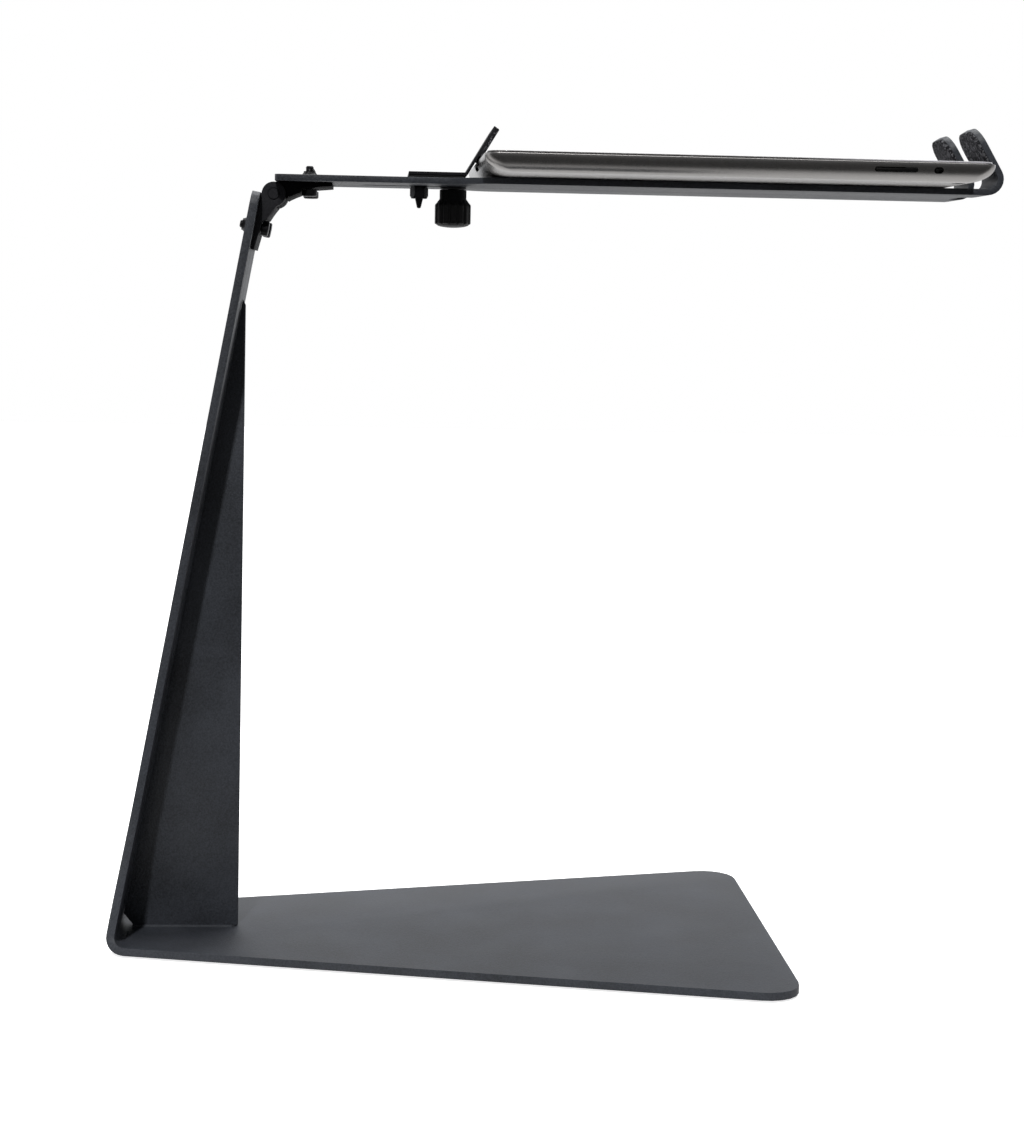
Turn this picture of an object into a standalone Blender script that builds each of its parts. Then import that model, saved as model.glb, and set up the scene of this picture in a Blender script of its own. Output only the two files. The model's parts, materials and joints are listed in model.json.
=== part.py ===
"""Desk video magnifier: a bent steel stand, a friction hinge, and an arm whose tray holds a tablet.

Run with: blender --background --python part.py
Metres, +Z up. The row origin is the middle of the overall box, on the floor; +X runs from the
heel to the hooked end of the tray and -Y is the side with the tablet's volume keys.
Pieces are laid out from the heel of the stand (the point where the upright's outer face would
meet the underside of the base) and hang from pivots that sit on the joint axes.
"""

import math

import bmesh
import bpy
from mathutils import Matrix, Vector

MM = 0.001
GAP = 0.3 * MM
THROUGH = 20 * MM  # half the length of a cutter that passes right through a plate

# Stand
FOOT_HEIGHT = 1.2 * MM
FOOT_RADIUS = 9 * MM
FOOT_EASE = 0.3 * MM
FEET = {
    "foot_near_wide": (328 * MM, -96 * MM),
    "foot_far_wide": (328 * MM, 96 * MM),
    "foot_near_heel": (26 * MM, -30 * MM),
    "foot_far_heel": (26 * MM, 30 * MM),
}
FLOOR_TO_PLATE = FOOT_HEIGHT + GAP
STAND_PLATE = 4.1 * MM
LEAN = math.radians(10.7)
BASE_LENGTH = 350 * MM
HEEL_HALF_WIDTH = 40 * MM
BASE_FLARE = 0.2283
BASE_CORNER = 22 * MM
BEND_RADIUS = 9 * MM
BEND_FLARE = 2 * MM
UPRIGHT_HALF_WIDTH = 29 * MM
UPRIGHT_TOP = 391.3 * MM
UPRIGHT_NECK = (16 * MM, 82 * MM)
UPRIGHT_CORNER = 7 * MM
RIB_THICKNESS = 3 * MM
RIB_FOOT = 66.8 * MM
RIB_TIP = 69.3 * MM
RIB_TOP = 337 * MM
RIB_CLIP = 6.5 * MM

# Hinge
PIN = (84.1 * MM, 390.0 * MM)
BARREL_RADIUS = 6.1 * MM
PIN_RADIUS = 3 * MM
LEAF_OFFSET = 6.1 * MM
LEAF_LENGTH = 29.3 * MM
LEAF_END = 1.6 * MM
LEAF_SEAT = 3.1 * MM
LEAF_WEB = 13 * MM
WEB_REACH = 21.1 * MM
WEB_FLOOR = 2.5 * MM
WEB_CURVE = 1.7
LEAF_HALF_WIDTH = 20 * MM
KNUCKLE = (7 * MM, 8.1 * MM)
BOLT_REACH = 17.8 * MM
BOLT_SPREAD = 13 * MM
BOLT_RADIUS = 2 * MM
BOLT_HEAD = 3.9 * MM
BOLT_HEAD_HEIGHT = 3.5 * MM
UPPER_TIP = 2.3 * MM
LOWER_TIP = 0.9 * MM
NUT_RADIUS = 4.2 * MM
NUT_HEIGHT = 2.4 * MM
NUT_RIM = 3.1 * MM

# Arm and tray
ARM_PLATE = 3.1 * MM
ARM_BOTTOM = 396.4 * MM
ARM_TOP = ARM_BOTTOM + ARM_PLATE
ARM_START = 84.9 * MM
ARM_HALF_WIDTH = 30 * MM
ARM_CORNER = 3 * MM
TRAY_HALF_WIDTH = 42.5 * MM
TRAY_FLARE = (170 * MM, 197 * MM)
TRAY_END = 437 * MM
TRAY_CORNER = 8 * MM
FINGER_PLACE = 27.5 * MM
FINGER_WIDTH = 30 * MM
FINGER_BEND = 8 * MM
FINGER_BEND_START = 442.7 * MM
FINGER_LEAN = math.radians(31)
FINGER_LENGTH = 25 * MM
FINGER_CORNER = 9 * MM
FOAM = 1.5 * MM
FOAM_LENGTH = 23 * MM
SLOT_WIDTH = 6 * MM
SLOT_SPAN = (128.4 * MM, 182 * MM)

# Clip
CLIP_SOLE = 0.9 * MM
CLIP_PLATE = 1.5 * MM
CLIP_HALF_WIDTH = 26 * MM
CLIP_START = 151.8 * MM
CLIP_BEND = 181.2 * MM
CLIP_LEAN = math.radians(31)
CLIP_RISE = 24.1 * MM
CLIP_EASE = 0.5 * MM
CLIP_PAD = (1.4 * MM, 16.2 * MM)
SOLE_CORNER = 1.5 * MM
WASHER = 1 * MM
GUIDE_PLACE = 157.6 * MM
STUD_PLACE = 175.1 * MM
GUIDE_BOTTOM = 385.2 * MM
GUIDE_TAPER = 4.5 * MM
STUD_END = 2.5 * MM
STUD_TAPER = 1 * MM
GUIDE_NUT = (4.7 * MM, 6.3 * MM, 3.6 * MM, 4.6 * MM)
CLIP_LOW = ARM_TOP + CLIP_SOLE + 2 * GAP
KNOB_RADIUS = 9.3 * MM
KNOB_NECK = 6.9 * MM
KNOB_TOP = 390.2 * MM
KNOB_GRIP = 387.4 * MM
KNOB_BOTTOM = 377.3 * MM
KNOB_DOME = 1.7 * MM
KNOB_FLUTES = 14
FLUTE_DEPTH = 0.7 * MM
KNOB_EASE = 0.8 * MM
KNOB_FLOOR = 1.5 * MM
INSERT_RADIUS = 4 * MM

# Tablet
TABLET_LENGTH = 246.9 * MM
TABLET_WIDTH = 189 * MM
TABLET_START = 186.6 * MM
TABLET_BOTTOM = ARM_TOP + GAP
TABLET_CORNER = 8 * MM
SHELL_HEIGHT = 8.8 * MM
SHELL_WALL = 1.1 * MM
GLASS = 0.9 * MM
GLASS_TOP = 9.9 * MM
EDGE_INSET = 14 * MM
EDGE_RISE = 6.4 * MM
HOME_PLACE = TABLET_START + 10.5 * MM
HOME_RADIUS = 5.5 * MM
HOME_DEPTH = 2 * MM
HOME_SUNK = 0.1 * MM
ROCKER_PLACE = (383.7 * MM, 21 * MM)
MUTE_PLACE = (404.3 * MM, 4.6 * MM)
KEY_HEIGHT = 5.2 * MM
KEY_SLOT = 2.4 * MM
KEY_CLEAR = 0.7 * MM
POWER_PLACE = (-70 * MM, 11 * MM)
JACK_PLACE = (70 * MM, -0.6 * MM)
JACK_RADIUS = 1.6 * MM
DOCK_SLOT = (25 * MM, 2.2 * MM)
DOCK_RAISED = 0.9 * MM
CAMERA_INSET = 15.5 * MM
CAMERA_RADIUS = 3.8 * MM
WINDOW_RADIUS = 3.1 * MM
MUTE_HEIGHT = 3 * MM
SLOT_CUT = 8 * MM  # how deep the cutters of the shell's openings are

# What lies flat inside the tablet, in millimetres: finish, size, place from the middle, height
INNER_PARTS = {
    "display_panel": ("display", (201, 158, 2.2), (0, 0), 5.7),
    "battery_cell_near": ("cell", (120, 66, 3.2), (-22, -36), 1.6),
    "battery_cell_far": ("cell", (120, 66, 3.2), (-22, 36), 1.6),
    "logic_board": ("board", (52, 120, 1.4), (70, 6), 1.6),
    "speaker": ("key_black", (16, 44, 3), (-94, -40), 1.6),
    "dock_connector": ("pin_steel", (6, 24, 1.6), (-116.8, 0), 5),
    "front_camera": ("key_black", (7, 7, 3), (111.6, 0), 5),
}

# The row origin, seen from the heel
HEEL_OUT = BEND_RADIUS * (1 + math.sin(LEAN)) / math.cos(LEAN) - BEND_RADIUS
ROW_CENTRE = (HEEL_OUT + FINGER_BEND_START + FINGER_BEND) / 2

MATERIALS = {
    "powder_coat": ((0.055, 0.06, 0.066), 0.55, 0.0),
    "hinge_black": ((0.012, 0.012, 0.013), 0.45, 0.0),
    "fastener_black": ((0.02, 0.02, 0.022), 0.35, 0.9),
    "pin_steel": ((0.45, 0.46, 0.48), 0.3, 1.0),
    "knob_plastic": ((0.012, 0.012, 0.012), 0.5, 0.0),
    "brass": ((0.7, 0.5, 0.2), 0.35, 1.0),
    "foam": ((0.06, 0.062, 0.068), 0.95, 0.0),
    "rubber": ((0.02, 0.02, 0.02), 0.8, 0.0),
    "tablet_metal": ((0.36, 0.355, 0.35), 0.32, 1.0),
    "front_glass": ((0.8, 0.8, 0.8), 0.08, 0.0),
    "display": ((0.01, 0.01, 0.012), 0.1, 0.0),
    "cell": ((0.1, 0.1, 0.11), 0.5, 0.0),
    "board": ((0.02, 0.12, 0.06), 0.5, 0.0),
    "key_black": ((0.02, 0.02, 0.02), 0.4, 0.0),
}


def clear_scene():
    for thing in list(bpy.data.objects):
        bpy.data.objects.remove(thing)


def collection(name):
    made = bpy.data.collections.new(name)
    bpy.context.scene.collection.children.link(made)
    return made


def material(name):
    """A Principled material of MATERIALS, made once."""
    made = bpy.data.materials.get(name)
    if made:
        return made
    colour, roughness, metallic = MATERIALS[name]
    made = bpy.data.materials.new(name)
    made.use_nodes = True
    shader = made.node_tree.nodes["Principled BSDF"]
    shader.inputs["Base Color"].default_value = (*colour, 1)
    shader.inputs["Roughness"].default_value = roughness
    shader.inputs["Metallic"].default_value = metallic
    return made


def pivot(name, at, parent=None):
    """An empty at a point given from the heel, which the pieces of one moving body hang from."""
    empty = bpy.data.objects.new(name, None)
    PARTS.objects.link(empty)
    empty["at"] = at
    empty.parent = parent
    start = Vector(parent["at"]) if parent else Vector((ROW_CENTRE, 0, 0))
    empty.location = Vector(at) - start
    return empty


def piece(name, mesh, finish, hung_on, at=(0, 0, 0), turn=(0, 0, 0)):
    """One named part: its mesh, its finish, the pivot that it hangs on and its place from the heel."""
    made = bpy.data.objects.new(name, mesh)
    PARTS.objects.link(made)
    mesh.materials.clear()
    mesh.materials.append(material(finish))
    made.parent = hung_on
    made.location = Vector(at) - Vector(hung_on["at"])
    made.rotation_euler = turn
    mesh.shade_smooth()
    mesh.set_sharp_from_angle(angle=math.radians(32))
    return made


def cutter(name, mesh, at=(0, 0, 0), turn=(0, 0, 0)):
    """A hidden solid, placed from the heel, for Boolean modifiers."""
    made = bpy.data.objects.new(name, mesh)
    CUTTERS.objects.link(made)
    made.location = Vector(at) - Vector((ROW_CENTRE, 0, 0))
    made.rotation_euler = turn
    made.hide_render = True
    made.display_type = "WIRE"
    return made


def boolean(target, tool, operation="DIFFERENCE"):
    modifier = target.modifiers.new(tool.name, "BOOLEAN")
    modifier.operation = operation
    modifier.object = tool
    modifier.solver = "EXACT"


def arc(centre, radius, start, end, steps):
    """Points on an arc about centre, from angle start to angle end in degrees."""
    angles = [math.radians(start + (end - start) * i / steps) for i in range(steps + 1)]
    return [(centre[0] + radius * math.cos(a), centre[1] + radius * math.sin(a)) for a in angles]


def rounded_rectangle(length, width, radius, steps=5):
    """The outline of a rectangle about the origin with round corners, anticlockwise."""
    corners = [(1, -1, -90), (1, 1, 0), (-1, 1, 90), (-1, -1, 180)]
    points = []
    for sx, sy, start in corners:
        centre = (sx * (length / 2 - radius), sy * (width / 2 - radius))
        points += arc(centre, radius, start, start + 90, steps)
    return points


def slot_outline(start, end, width, steps=6):
    """A slot along X from start to end with round ends."""
    r = width / 2
    return arc((end - r, 0), r, -90, 90, steps) + arc((start + r, 0), r, 90, 270, steps)


def prism(outlines, depth, upright=False):
    """A flat outline, or several with holes, given the thickness depth about its own plane.

    The plane is XY, or XZ when upright is set.
    """
    curve = bpy.data.curves.new("outline", "CURVE")
    curve.dimensions = "2D"
    curve.fill_mode = "BOTH"
    curve.extrude = depth / 2
    for outline in outlines:
        spline = curve.splines.new("POLY")
        spline.points.add(len(outline) - 1)
        for point, (x, y) in zip(spline.points, outline):
            point.co = (x, y, 0, 1)
        spline.use_cyclic_u = True
    holder = bpy.data.objects.new("outline", curve)
    bpy.context.scene.collection.objects.link(holder)
    evaluated = holder.evaluated_get(bpy.context.evaluated_depsgraph_get())
    mesh = bpy.data.meshes.new_from_object(evaluated)
    bpy.data.objects.remove(holder)
    turn = Matrix.Rotation(math.pi / 2, 4, "X") if upright else Matrix.Identity(4)
    return tidy(mesh, turn)


def tidy(mesh, transform=None):
    """Welds a mesh, turns it by transform and points its faces outwards."""
    bm = bmesh.new()
    bm.from_mesh(mesh)
    bmesh.ops.remove_doubles(bm, verts=bm.verts, dist=1e-6)
    if transform:
        bmesh.ops.transform(bm, matrix=transform, verts=bm.verts)
    bmesh.ops.recalc_face_normals(bm, faces=bm.faces)
    bm.to_mesh(mesh)
    bm.free()
    return mesh


def cylinder(radius, low, high, segments=24, axis="Z"):
    """A cylinder between two heights on its own axis."""
    bm = bmesh.new()
    bmesh.ops.create_cone(bm, cap_ends=True, segments=segments, radius1=radius, radius2=radius,
                          depth=high - low,
                          matrix=Matrix.Translation((0, 0, (low + high) / 2)))
    if axis == "Y":
        bmesh.ops.rotate(bm, matrix=Matrix.Rotation(-math.pi / 2, 3, "X"), verts=bm.verts)
    if axis == "X":
        bmesh.ops.rotate(bm, matrix=Matrix.Rotation(math.pi / 2, 3, "Y"), verts=bm.verts)
    mesh = bpy.data.meshes.new("cylinder")
    bm.to_mesh(mesh)
    bm.free()
    return mesh


def box(size, at=(0, 0, 0)):
    bm = bmesh.new()
    bmesh.ops.create_cube(bm, size=1, matrix=Matrix.Translation(at) @ Matrix.Diagonal((*size, 1)))
    mesh = bpy.data.meshes.new("box")
    bm.to_mesh(mesh)
    bm.free()
    return mesh


def turned(profile, segments=24, closed=False):
    """The mesh swept by a profile of (radius, height) points about Z, top to bottom.

    A closed profile, such as a washer's section, doesn't touch the axis.
    """
    mesh = bpy.data.meshes.new("profile")
    edges = [(i, i + 1) for i in range(len(profile) - 1)]
    if closed:
        edges.append((len(profile) - 1, 0))
    mesh.from_pydata([(r, 0, z) for r, z in profile], edges, [])
    holder = bpy.data.objects.new("profile", mesh)
    bpy.context.scene.collection.objects.link(holder)
    screw = holder.modifiers.new("turn", "SCREW")
    screw.steps = segments
    screw.render_steps = segments
    screw.use_merge_vertices = True
    screw.merge_threshold = 1e-5
    evaluated = holder.evaluated_get(bpy.context.evaluated_depsgraph_get())
    made = bpy.data.meshes.new_from_object(evaluated)
    bpy.data.objects.remove(holder)
    return tidy(made)


def bolt_mesh(length):
    """A cap-head bolt hanging down from z = 0 under its head, with a chamfered tip."""
    dome = arc((0, 0), 1, 90, 10, 4)
    head = [(BOLT_HEAD * x, BOLT_HEAD_HEIGHT * y) for x, y in dome]
    tip = [(BOLT_RADIUS, -length + 0.8 * MM), (BOLT_RADIUS - 0.7 * MM, -length), (0, -length)]
    return turned([(0, BOLT_HEAD_HEIGHT)] + head[1:] + [(BOLT_HEAD, 0), (BOLT_RADIUS, 0)] + tip)


def stud_mesh(radius, length, taper):
    """A headless stud hanging down from z = 0, drawn in to a thin tip over its last part."""
    chamfer = 0.4 * MM
    point = 0.5 * radius
    return turned([(0, 0), (radius - chamfer, 0), (radius, -chamfer), (radius, taper - length),
                   (point, chamfer - length), (point - chamfer, -length), (0, -length)])


def nut_mesh(radius, height, rim, shoulder):
    """A hexagon nut drawn in above its shoulder, standing on z = 0, clear of the bolt in it."""
    hole = (BOLT_RADIUS + GAP) / math.cos(math.pi / 6)
    return turned([(hole, 0), (hole, height), (rim, height), (radius, shoulder), (radius, 0)],
                  6, closed=True)


# ---------------------------------------------------------------- stand


def upright_x(z):
    """The upright's outer face at a height above the underside of the base."""
    return z * math.tan(LEAN)


def smooth(value, low, high):
    """0 before low, 1 after high and an even S between them."""
    t = min(max((value - low) / (high - low), 0), 1)
    return t * t * (3 - 2 * t)


def corner_loss(distance, radius):
    """How far a round corner of that radius has drawn in, at a distance from the end."""
    if distance >= radius:
        return 0
    return radius - math.sqrt(radius ** 2 - (radius - distance) ** 2)


def base_rows():
    """Rows (x, z, half width) of the underside, from the wide end to the bend."""
    bend_start = BEND_RADIUS * (1 + math.sin(LEAN)) / math.cos(LEAN)
    corner = [BASE_CORNER * (1 - math.cos(math.radians(a))) for a in range(0, 91, 15)]
    straight = [BASE_LENGTH - d for d in corner] + [BASE_LENGTH / 2, bend_start]
    rows = []
    for x in straight:
        width = HEEL_HALF_WIDTH + BASE_FLARE * x
        rows.append((x, 0, width - corner_loss(BASE_LENGTH - x, BASE_CORNER)))
    return rows


def upright_rows():
    """Rows of the bend and of the outer face, from the bend to the rounded top."""
    centre = BEND_RADIUS * (1 + math.sin(LEAN)) / math.cos(LEAN)
    rows = []
    for x, z in arc((centre, BEND_RADIUS), BEND_RADIUS, -90, -180 - math.degrees(LEAN), 7)[1:]:
        rows.append((x, z, HEEL_HALF_WIDTH + BEND_FLARE * (1 - z / BEND_RADIUS)))
    top = UPRIGHT_TOP - FLOOR_TO_PLATE
    heights = [UPRIGHT_NECK[0] + (UPRIGHT_NECK[1] - UPRIGHT_NECK[0]) * i / 8 for i in range(9)]
    heights.append((UPRIGHT_NECK[1] + top) / 2)
    heights += [top - UPRIGHT_CORNER * (1 - math.cos(math.radians(a))) for a in range(90, -1, -18)]
    for z in heights:
        width = HEEL_HALF_WIDTH + (UPRIGHT_HALF_WIDTH - HEEL_HALF_WIDTH) * smooth(z, *UPRIGHT_NECK)
        rows.append((upright_x(z), z, width - corner_loss(top - z, UPRIGHT_CORNER)))
    return rows


def sheet_mesh(rows):
    """An open surface through rows (x, z, half width)."""
    bm = bmesh.new()
    ranks = []
    for x, z, width in rows:
        ranks.append([bm.verts.new((x, side * width, z)) for side in (-1, 1)])
    for low, high in zip(ranks, ranks[1:]):
        bm.faces.new((low[0], high[0], high[1], low[1]))
    mesh = bpy.data.meshes.new("sheet")
    bm.to_mesh(mesh)
    bm.free()
    return mesh


def build_stand(stand):
    """The bent plate, its rib and its rubber feet."""
    plate = piece("stand_plate", sheet_mesh(base_rows() + upright_rows()), "powder_coat", stand,
                  (0, 0, FLOOR_TO_PLATE))
    thick = plate.modifiers.new("plate", "SOLIDIFY")
    thick.thickness = STAND_PLATE
    thick.offset = -1
    thick.use_even_offset = True
    for side in (-1, 1):
        hole = cutter(f"upright_hole_{side}", cylinder(BOLT_RADIUS + GAP, -THROUGH, THROUGH, 20),
                      leaf_point(BOLT_REACH, side * BOLT_SPREAD, LEAF_OFFSET, lower=True),
                      (0, math.pi / 2 + LEAN, 0))
        boolean(plate, hole)

    inner = STAND_PLATE / math.cos(LEAN) + GAP
    floor = STAND_PLATE + GAP
    top = RIB_TOP - FLOOR_TO_PLATE
    outline = [(upright_x(floor) + inner + RIB_CLIP, floor), (RIB_FOOT, floor), (RIB_TIP, top - 3 * MM),
               (upright_x(top) + inner, top),
               (upright_x(floor + RIB_CLIP) + inner, floor + RIB_CLIP)]
    piece("gusset_rib", prism([outline], RIB_THICKNESS, upright=True), "powder_coat", stand,
          (0, 0, FLOOR_TO_PLATE))

    foot = turned([(0, FOOT_HEIGHT), (FOOT_RADIUS, FOOT_HEIGHT), (FOOT_RADIUS, FOOT_EASE),
                   (FOOT_RADIUS - FOOT_EASE, 0), (0, 0)], 20)
    for name, (x, y) in FEET.items():
        piece(name, foot.copy(), "rubber", stand, (x, y, 0))


# ---------------------------------------------------------------- hinge


def leaf_point(reach, y, offset, lower):
    """A point beside the pin: reach along a leaf, offset towards the plate that it is bolted to."""
    if not lower:
        return (PIN[0] + reach, y, PIN[1] + offset)
    along = Vector((-math.sin(LEAN), 0, -math.cos(LEAN)))
    across = Vector((-math.cos(LEAN), 0, math.sin(LEAN)))
    return tuple(Vector((PIN[0], y, PIN[1])) + reach * along + offset * across)


def leaf_outline(side):
    """A leaf's section about the pin: a hollow-curved web by the barrel, then a thin plate."""
    points = [(0, LEAF_OFFSET), (0, -BARREL_RADIUS)]
    for i in range(1, 6):
        reach = LEAF_WEB * i / 5
        drop = (WEB_FLOOR + BARREL_RADIUS) * (1 - reach / WEB_REACH) ** WEB_CURVE
        points.append((reach, WEB_FLOOR - drop))
    points += [(LEAF_WEB + 1.5 * MM, LEAF_SEAT), (LEAF_LENGTH, LEAF_OFFSET - LEAF_END),
               (LEAF_LENGTH, LEAF_OFFSET)]
    return [(x, side * z) for x, z in points]


def build_leaf(name, hung_on, lower):
    """One leaf with its knuckles: the lower leaf has the two end knuckles, the upper the middle one."""
    at = (PIN[0], 0, PIN[1])
    spin = (0, math.pi / 2 + LEAN, 0) if lower else (0, 0, 0)
    side = -1 if lower else 1
    leaf = piece(name, prism([leaf_outline(side)], 2 * LEAF_HALF_WIDTH, upright=True), "hinge_black",
                 hung_on, at, spin)
    inner, outer = KNUCKLE
    past = LEAF_HALF_WIDTH + 2 * MM
    own = [(-LEAF_HALF_WIDTH, -outer), (outer, LEAF_HALF_WIDTH)] if lower else [(-inner, inner)]
    room = [(-outer, outer)] if lower else [(-past, -inner), (inner, past)]
    for i, (low, high) in enumerate(own):
        knuckle = cylinder(BARREL_RADIUS, low, high, 28, "Y")
        boolean(leaf, cutter(f"{name}_knuckle_{i}", knuckle, at), "UNION")
    for i, (low, high) in enumerate(room):
        clear = cylinder(BARREL_RADIUS + 0.5 * MM, low, high, 28, "Y")
        boolean(leaf, cutter(f"{name}_room_{i}", clear, at))
    bore = cylinder(PIN_RADIUS + 0.05 * MM, -past, past, 20, "Y")
    boolean(leaf, cutter(f"{name}_bore", bore, at))
    seat_span = (0, THROUGH) if lower else (-THROUGH, 0)
    for y in (-BOLT_SPREAD, BOLT_SPREAD):
        hole = cylinder(BOLT_RADIUS + GAP, -THROUGH, THROUGH, 20)
        boolean(leaf, cutter(f"{name}_hole_{y}", hole, leaf_point(BOLT_REACH, y, 0, lower), spin))
        seat = cylinder(BOLT_HEAD + 0.6 * MM, *seat_span, 20)
        boolean(leaf, cutter(f"{name}_seat_{y}", seat, leaf_point(BOLT_REACH, y, LEAF_SEAT, lower), spin))


def build_hinge(stand, arm):
    """Both leaves, the pin with its washers, and the bolts and nuts that hold the leaves."""
    build_leaf("hinge_lower_leaf", stand, lower=True)
    build_leaf("hinge_upper_leaf", arm, lower=False)
    at = (PIN[0], 0, PIN[1])
    pin = cylinder(PIN_RADIUS - 0.02 * MM, -LEAF_HALF_WIDTH, LEAF_HALF_WIDTH, 20, "Y")
    piece("hinge_pin", pin, "hinge_black", stand, at)
    inner, outer = KNUCKLE
    play = 0.25 * MM
    ring = turned([(BARREL_RADIUS - GAP, outer - play), (BARREL_RADIUS - GAP, inner + play),
                   (PIN_RADIUS + GAP, inner + play), (PIN_RADIUS + GAP, outer - play)], 24, closed=True)
    for name, quarter in (("hinge_washer_near", 1), ("hinge_washer_far", -1)):
        piece(name, ring.copy(), "pin_steel", stand, at, (quarter * math.pi / 2, 0, 0))
    head = LEAF_SEAT - GAP
    for word, owner, lower in (("upper", arm, False), ("lower", stand, True)):
        plate = STAND_PLATE if lower else ARM_PLATE
        flip = (0, math.pi / 2 + LEAN, 0) if lower else (math.pi, 0, 0)
        nut_turn = (0, -math.pi / 2 + LEAN, 0) if lower else (0, 0, 0)
        face = LEAF_OFFSET + plate + 2 * GAP
        length = face - head + NUT_HEIGHT + (LOWER_TIP if lower else UPPER_TIP)
        for side, y in (("near", -BOLT_SPREAD), ("far", BOLT_SPREAD)):
            piece(f"{word}_bolt_{side}", bolt_mesh(length), "fastener_black", owner,
                  leaf_point(BOLT_REACH, y, head, lower), flip)
            nut = nut_mesh(NUT_RADIUS, NUT_HEIGHT, NUT_RIM, NUT_HEIGHT / 4)
            piece(f"{word}_nut_{side}", nut, "fastener_black", owner,
                  leaf_point(BOLT_REACH, y, face, lower), nut_turn)


# ---------------------------------------------------------------- arm


def arm_half_width(x):
    return ARM_HALF_WIDTH + (TRAY_HALF_WIDTH - ARM_HALF_WIDTH) * smooth(x, *TRAY_FLARE)


def arm_outline():
    """The flat of the arm and tray, anticlockwise."""
    stations = [ARM_START + ARM_CORNER * (1 - math.cos(math.radians(a))) for a in range(0, 91, 30)]
    flare = [TRAY_FLARE[0] + (TRAY_FLARE[1] - TRAY_FLARE[0]) * i / 8 for i in range(9)]
    ends = [TRAY_END - TRAY_CORNER * (1 - math.cos(math.radians(a))) for a in range(90, -1, -18)]
    near = []
    for x in stations + flare + ends:
        loss = corner_loss(x - ARM_START, ARM_CORNER) + corner_loss(TRAY_END - x, TRAY_CORNER)
        near.append((x, -(arm_half_width(x) - loss)))
    return near + [(x, -y) for x, y in reversed(near)]


def finger_outline():
    """A finger's section in XZ: in from the tray's end, round the bend and up its lean."""
    centre = (FINGER_BEND_START, ARM_BOTTOM + FINGER_BEND)
    turn = 90 + math.degrees(FINGER_LEAN)
    inner_radius = FINGER_BEND - ARM_PLATE
    outer = arc(centre, FINGER_BEND, -90, turn - 90, 8)
    inner = arc(centre, inner_radius, turn - 90, -90, 6)
    up = (-math.sin(FINGER_LEAN) * FINGER_LENGTH, math.cos(FINGER_LEAN) * FINGER_LENGTH)
    tip = [(outer[-1][0] + up[0], outer[-1][1] + up[1]), (inner[0][0] + up[0], inner[0][1] + up[1])]
    root = TRAY_END - 12 * MM
    return [(root, ARM_BOTTOM)] + outer + tip + inner + [(root, ARM_TOP)]


def along_finger(height, depth):
    """A point on a finger's middle line: height below its tip, depth in from its inner face."""
    out = Vector((math.cos(FINGER_LEAN), math.sin(FINGER_LEAN)))
    up = Vector((-math.sin(FINGER_LEAN), math.cos(FINGER_LEAN)))
    bend = Vector((FINGER_BEND_START, ARM_BOTTOM + FINGER_BEND))
    inner_tip = bend + out * (FINGER_BEND - ARM_PLATE) + up * FINGER_LENGTH
    return inner_tip - up * height - out * depth


def build_arm(arm):
    """The arm and tray plate with its fingers, slot and bolt holes, and the foam on the fingers."""
    flat = prism([arm_outline()], ARM_PLATE)
    plate = piece("arm_plate", flat, "powder_coat", arm, (0, 0, ARM_BOTTOM + ARM_PLATE / 2))
    turn = (0, -math.pi / 2 - FINGER_LEAN, 0)
    tall = 2 * (FINGER_LENGTH + FINGER_BEND + ARM_PLATE)
    for side in (-1, 1):
        finger = cutter(f"finger_{side}", prism([finger_outline()], FINGER_WIDTH, upright=True),
                        (0, side * FINGER_PLACE, 0))
        x, z = along_finger(tall / 2, 0)
        corners = prism([rounded_rectangle(tall, FINGER_WIDTH + 0.02 * MM, FINGER_CORNER, 6)], tall)
        boolean(finger, cutter(f"corners_{side}", corners, (x, side * FINGER_PLACE, z), turn), "INTERSECT")
        boolean(plate, finger, "UNION")
    slot = prism([slot_outline(*SLOT_SPAN, SLOT_WIDTH)], 2 * THROUGH)
    boolean(plate, cutter("clip_slot", slot, (0, 0, ARM_BOTTOM + ARM_PLATE / 2)))
    for side in (-1, 1):
        hole = cylinder(BOLT_RADIUS + GAP, -THROUGH, THROUGH, 20)
        boolean(plate, cutter(f"arm_hole_{side}", hole,
                              (PIN[0] + BOLT_REACH, side * BOLT_SPREAD, ARM_BOTTOM)))
    for name, side in (("finger_foam_near", -1), ("finger_foam_far", 1)):
        x, z = along_finger(GAP + FOAM_LENGTH / 2, GAP + FOAM / 2)
        sheet = prism([rounded_rectangle(FOAM_LENGTH, FINGER_WIDTH - 2 * GAP, FINGER_CORNER, 6)], FOAM)
        piece(name, sheet, "foam", arm, (x, side * FINGER_PLACE, z), turn)


# ---------------------------------------------------------------- clip


def clip_outline():
    """The clip's section: its flat over the arm, the bend, and the lip that leans over the tablet."""
    low = CLIP_LOW
    high = low + CLIP_PLATE
    up = Vector((math.sin(CLIP_LEAN), math.cos(CLIP_LEAN)))
    across = Vector((math.cos(CLIP_LEAN), -math.sin(CLIP_LEAN)))
    foot = Vector((CLIP_BEND, low))
    tip = foot + up * (CLIP_RISE / math.cos(CLIP_LEAN))
    crease = foot - across * CLIP_PLATE
    rise = (high - crease.y) / up.y
    return [(CLIP_START, low), (CLIP_BEND - CLIP_EASE, low), tuple(foot + up * CLIP_EASE),
            tuple(tip), tuple(tip - across * CLIP_PLATE), tuple(crease + up * rise), (CLIP_START, high)]


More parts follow.
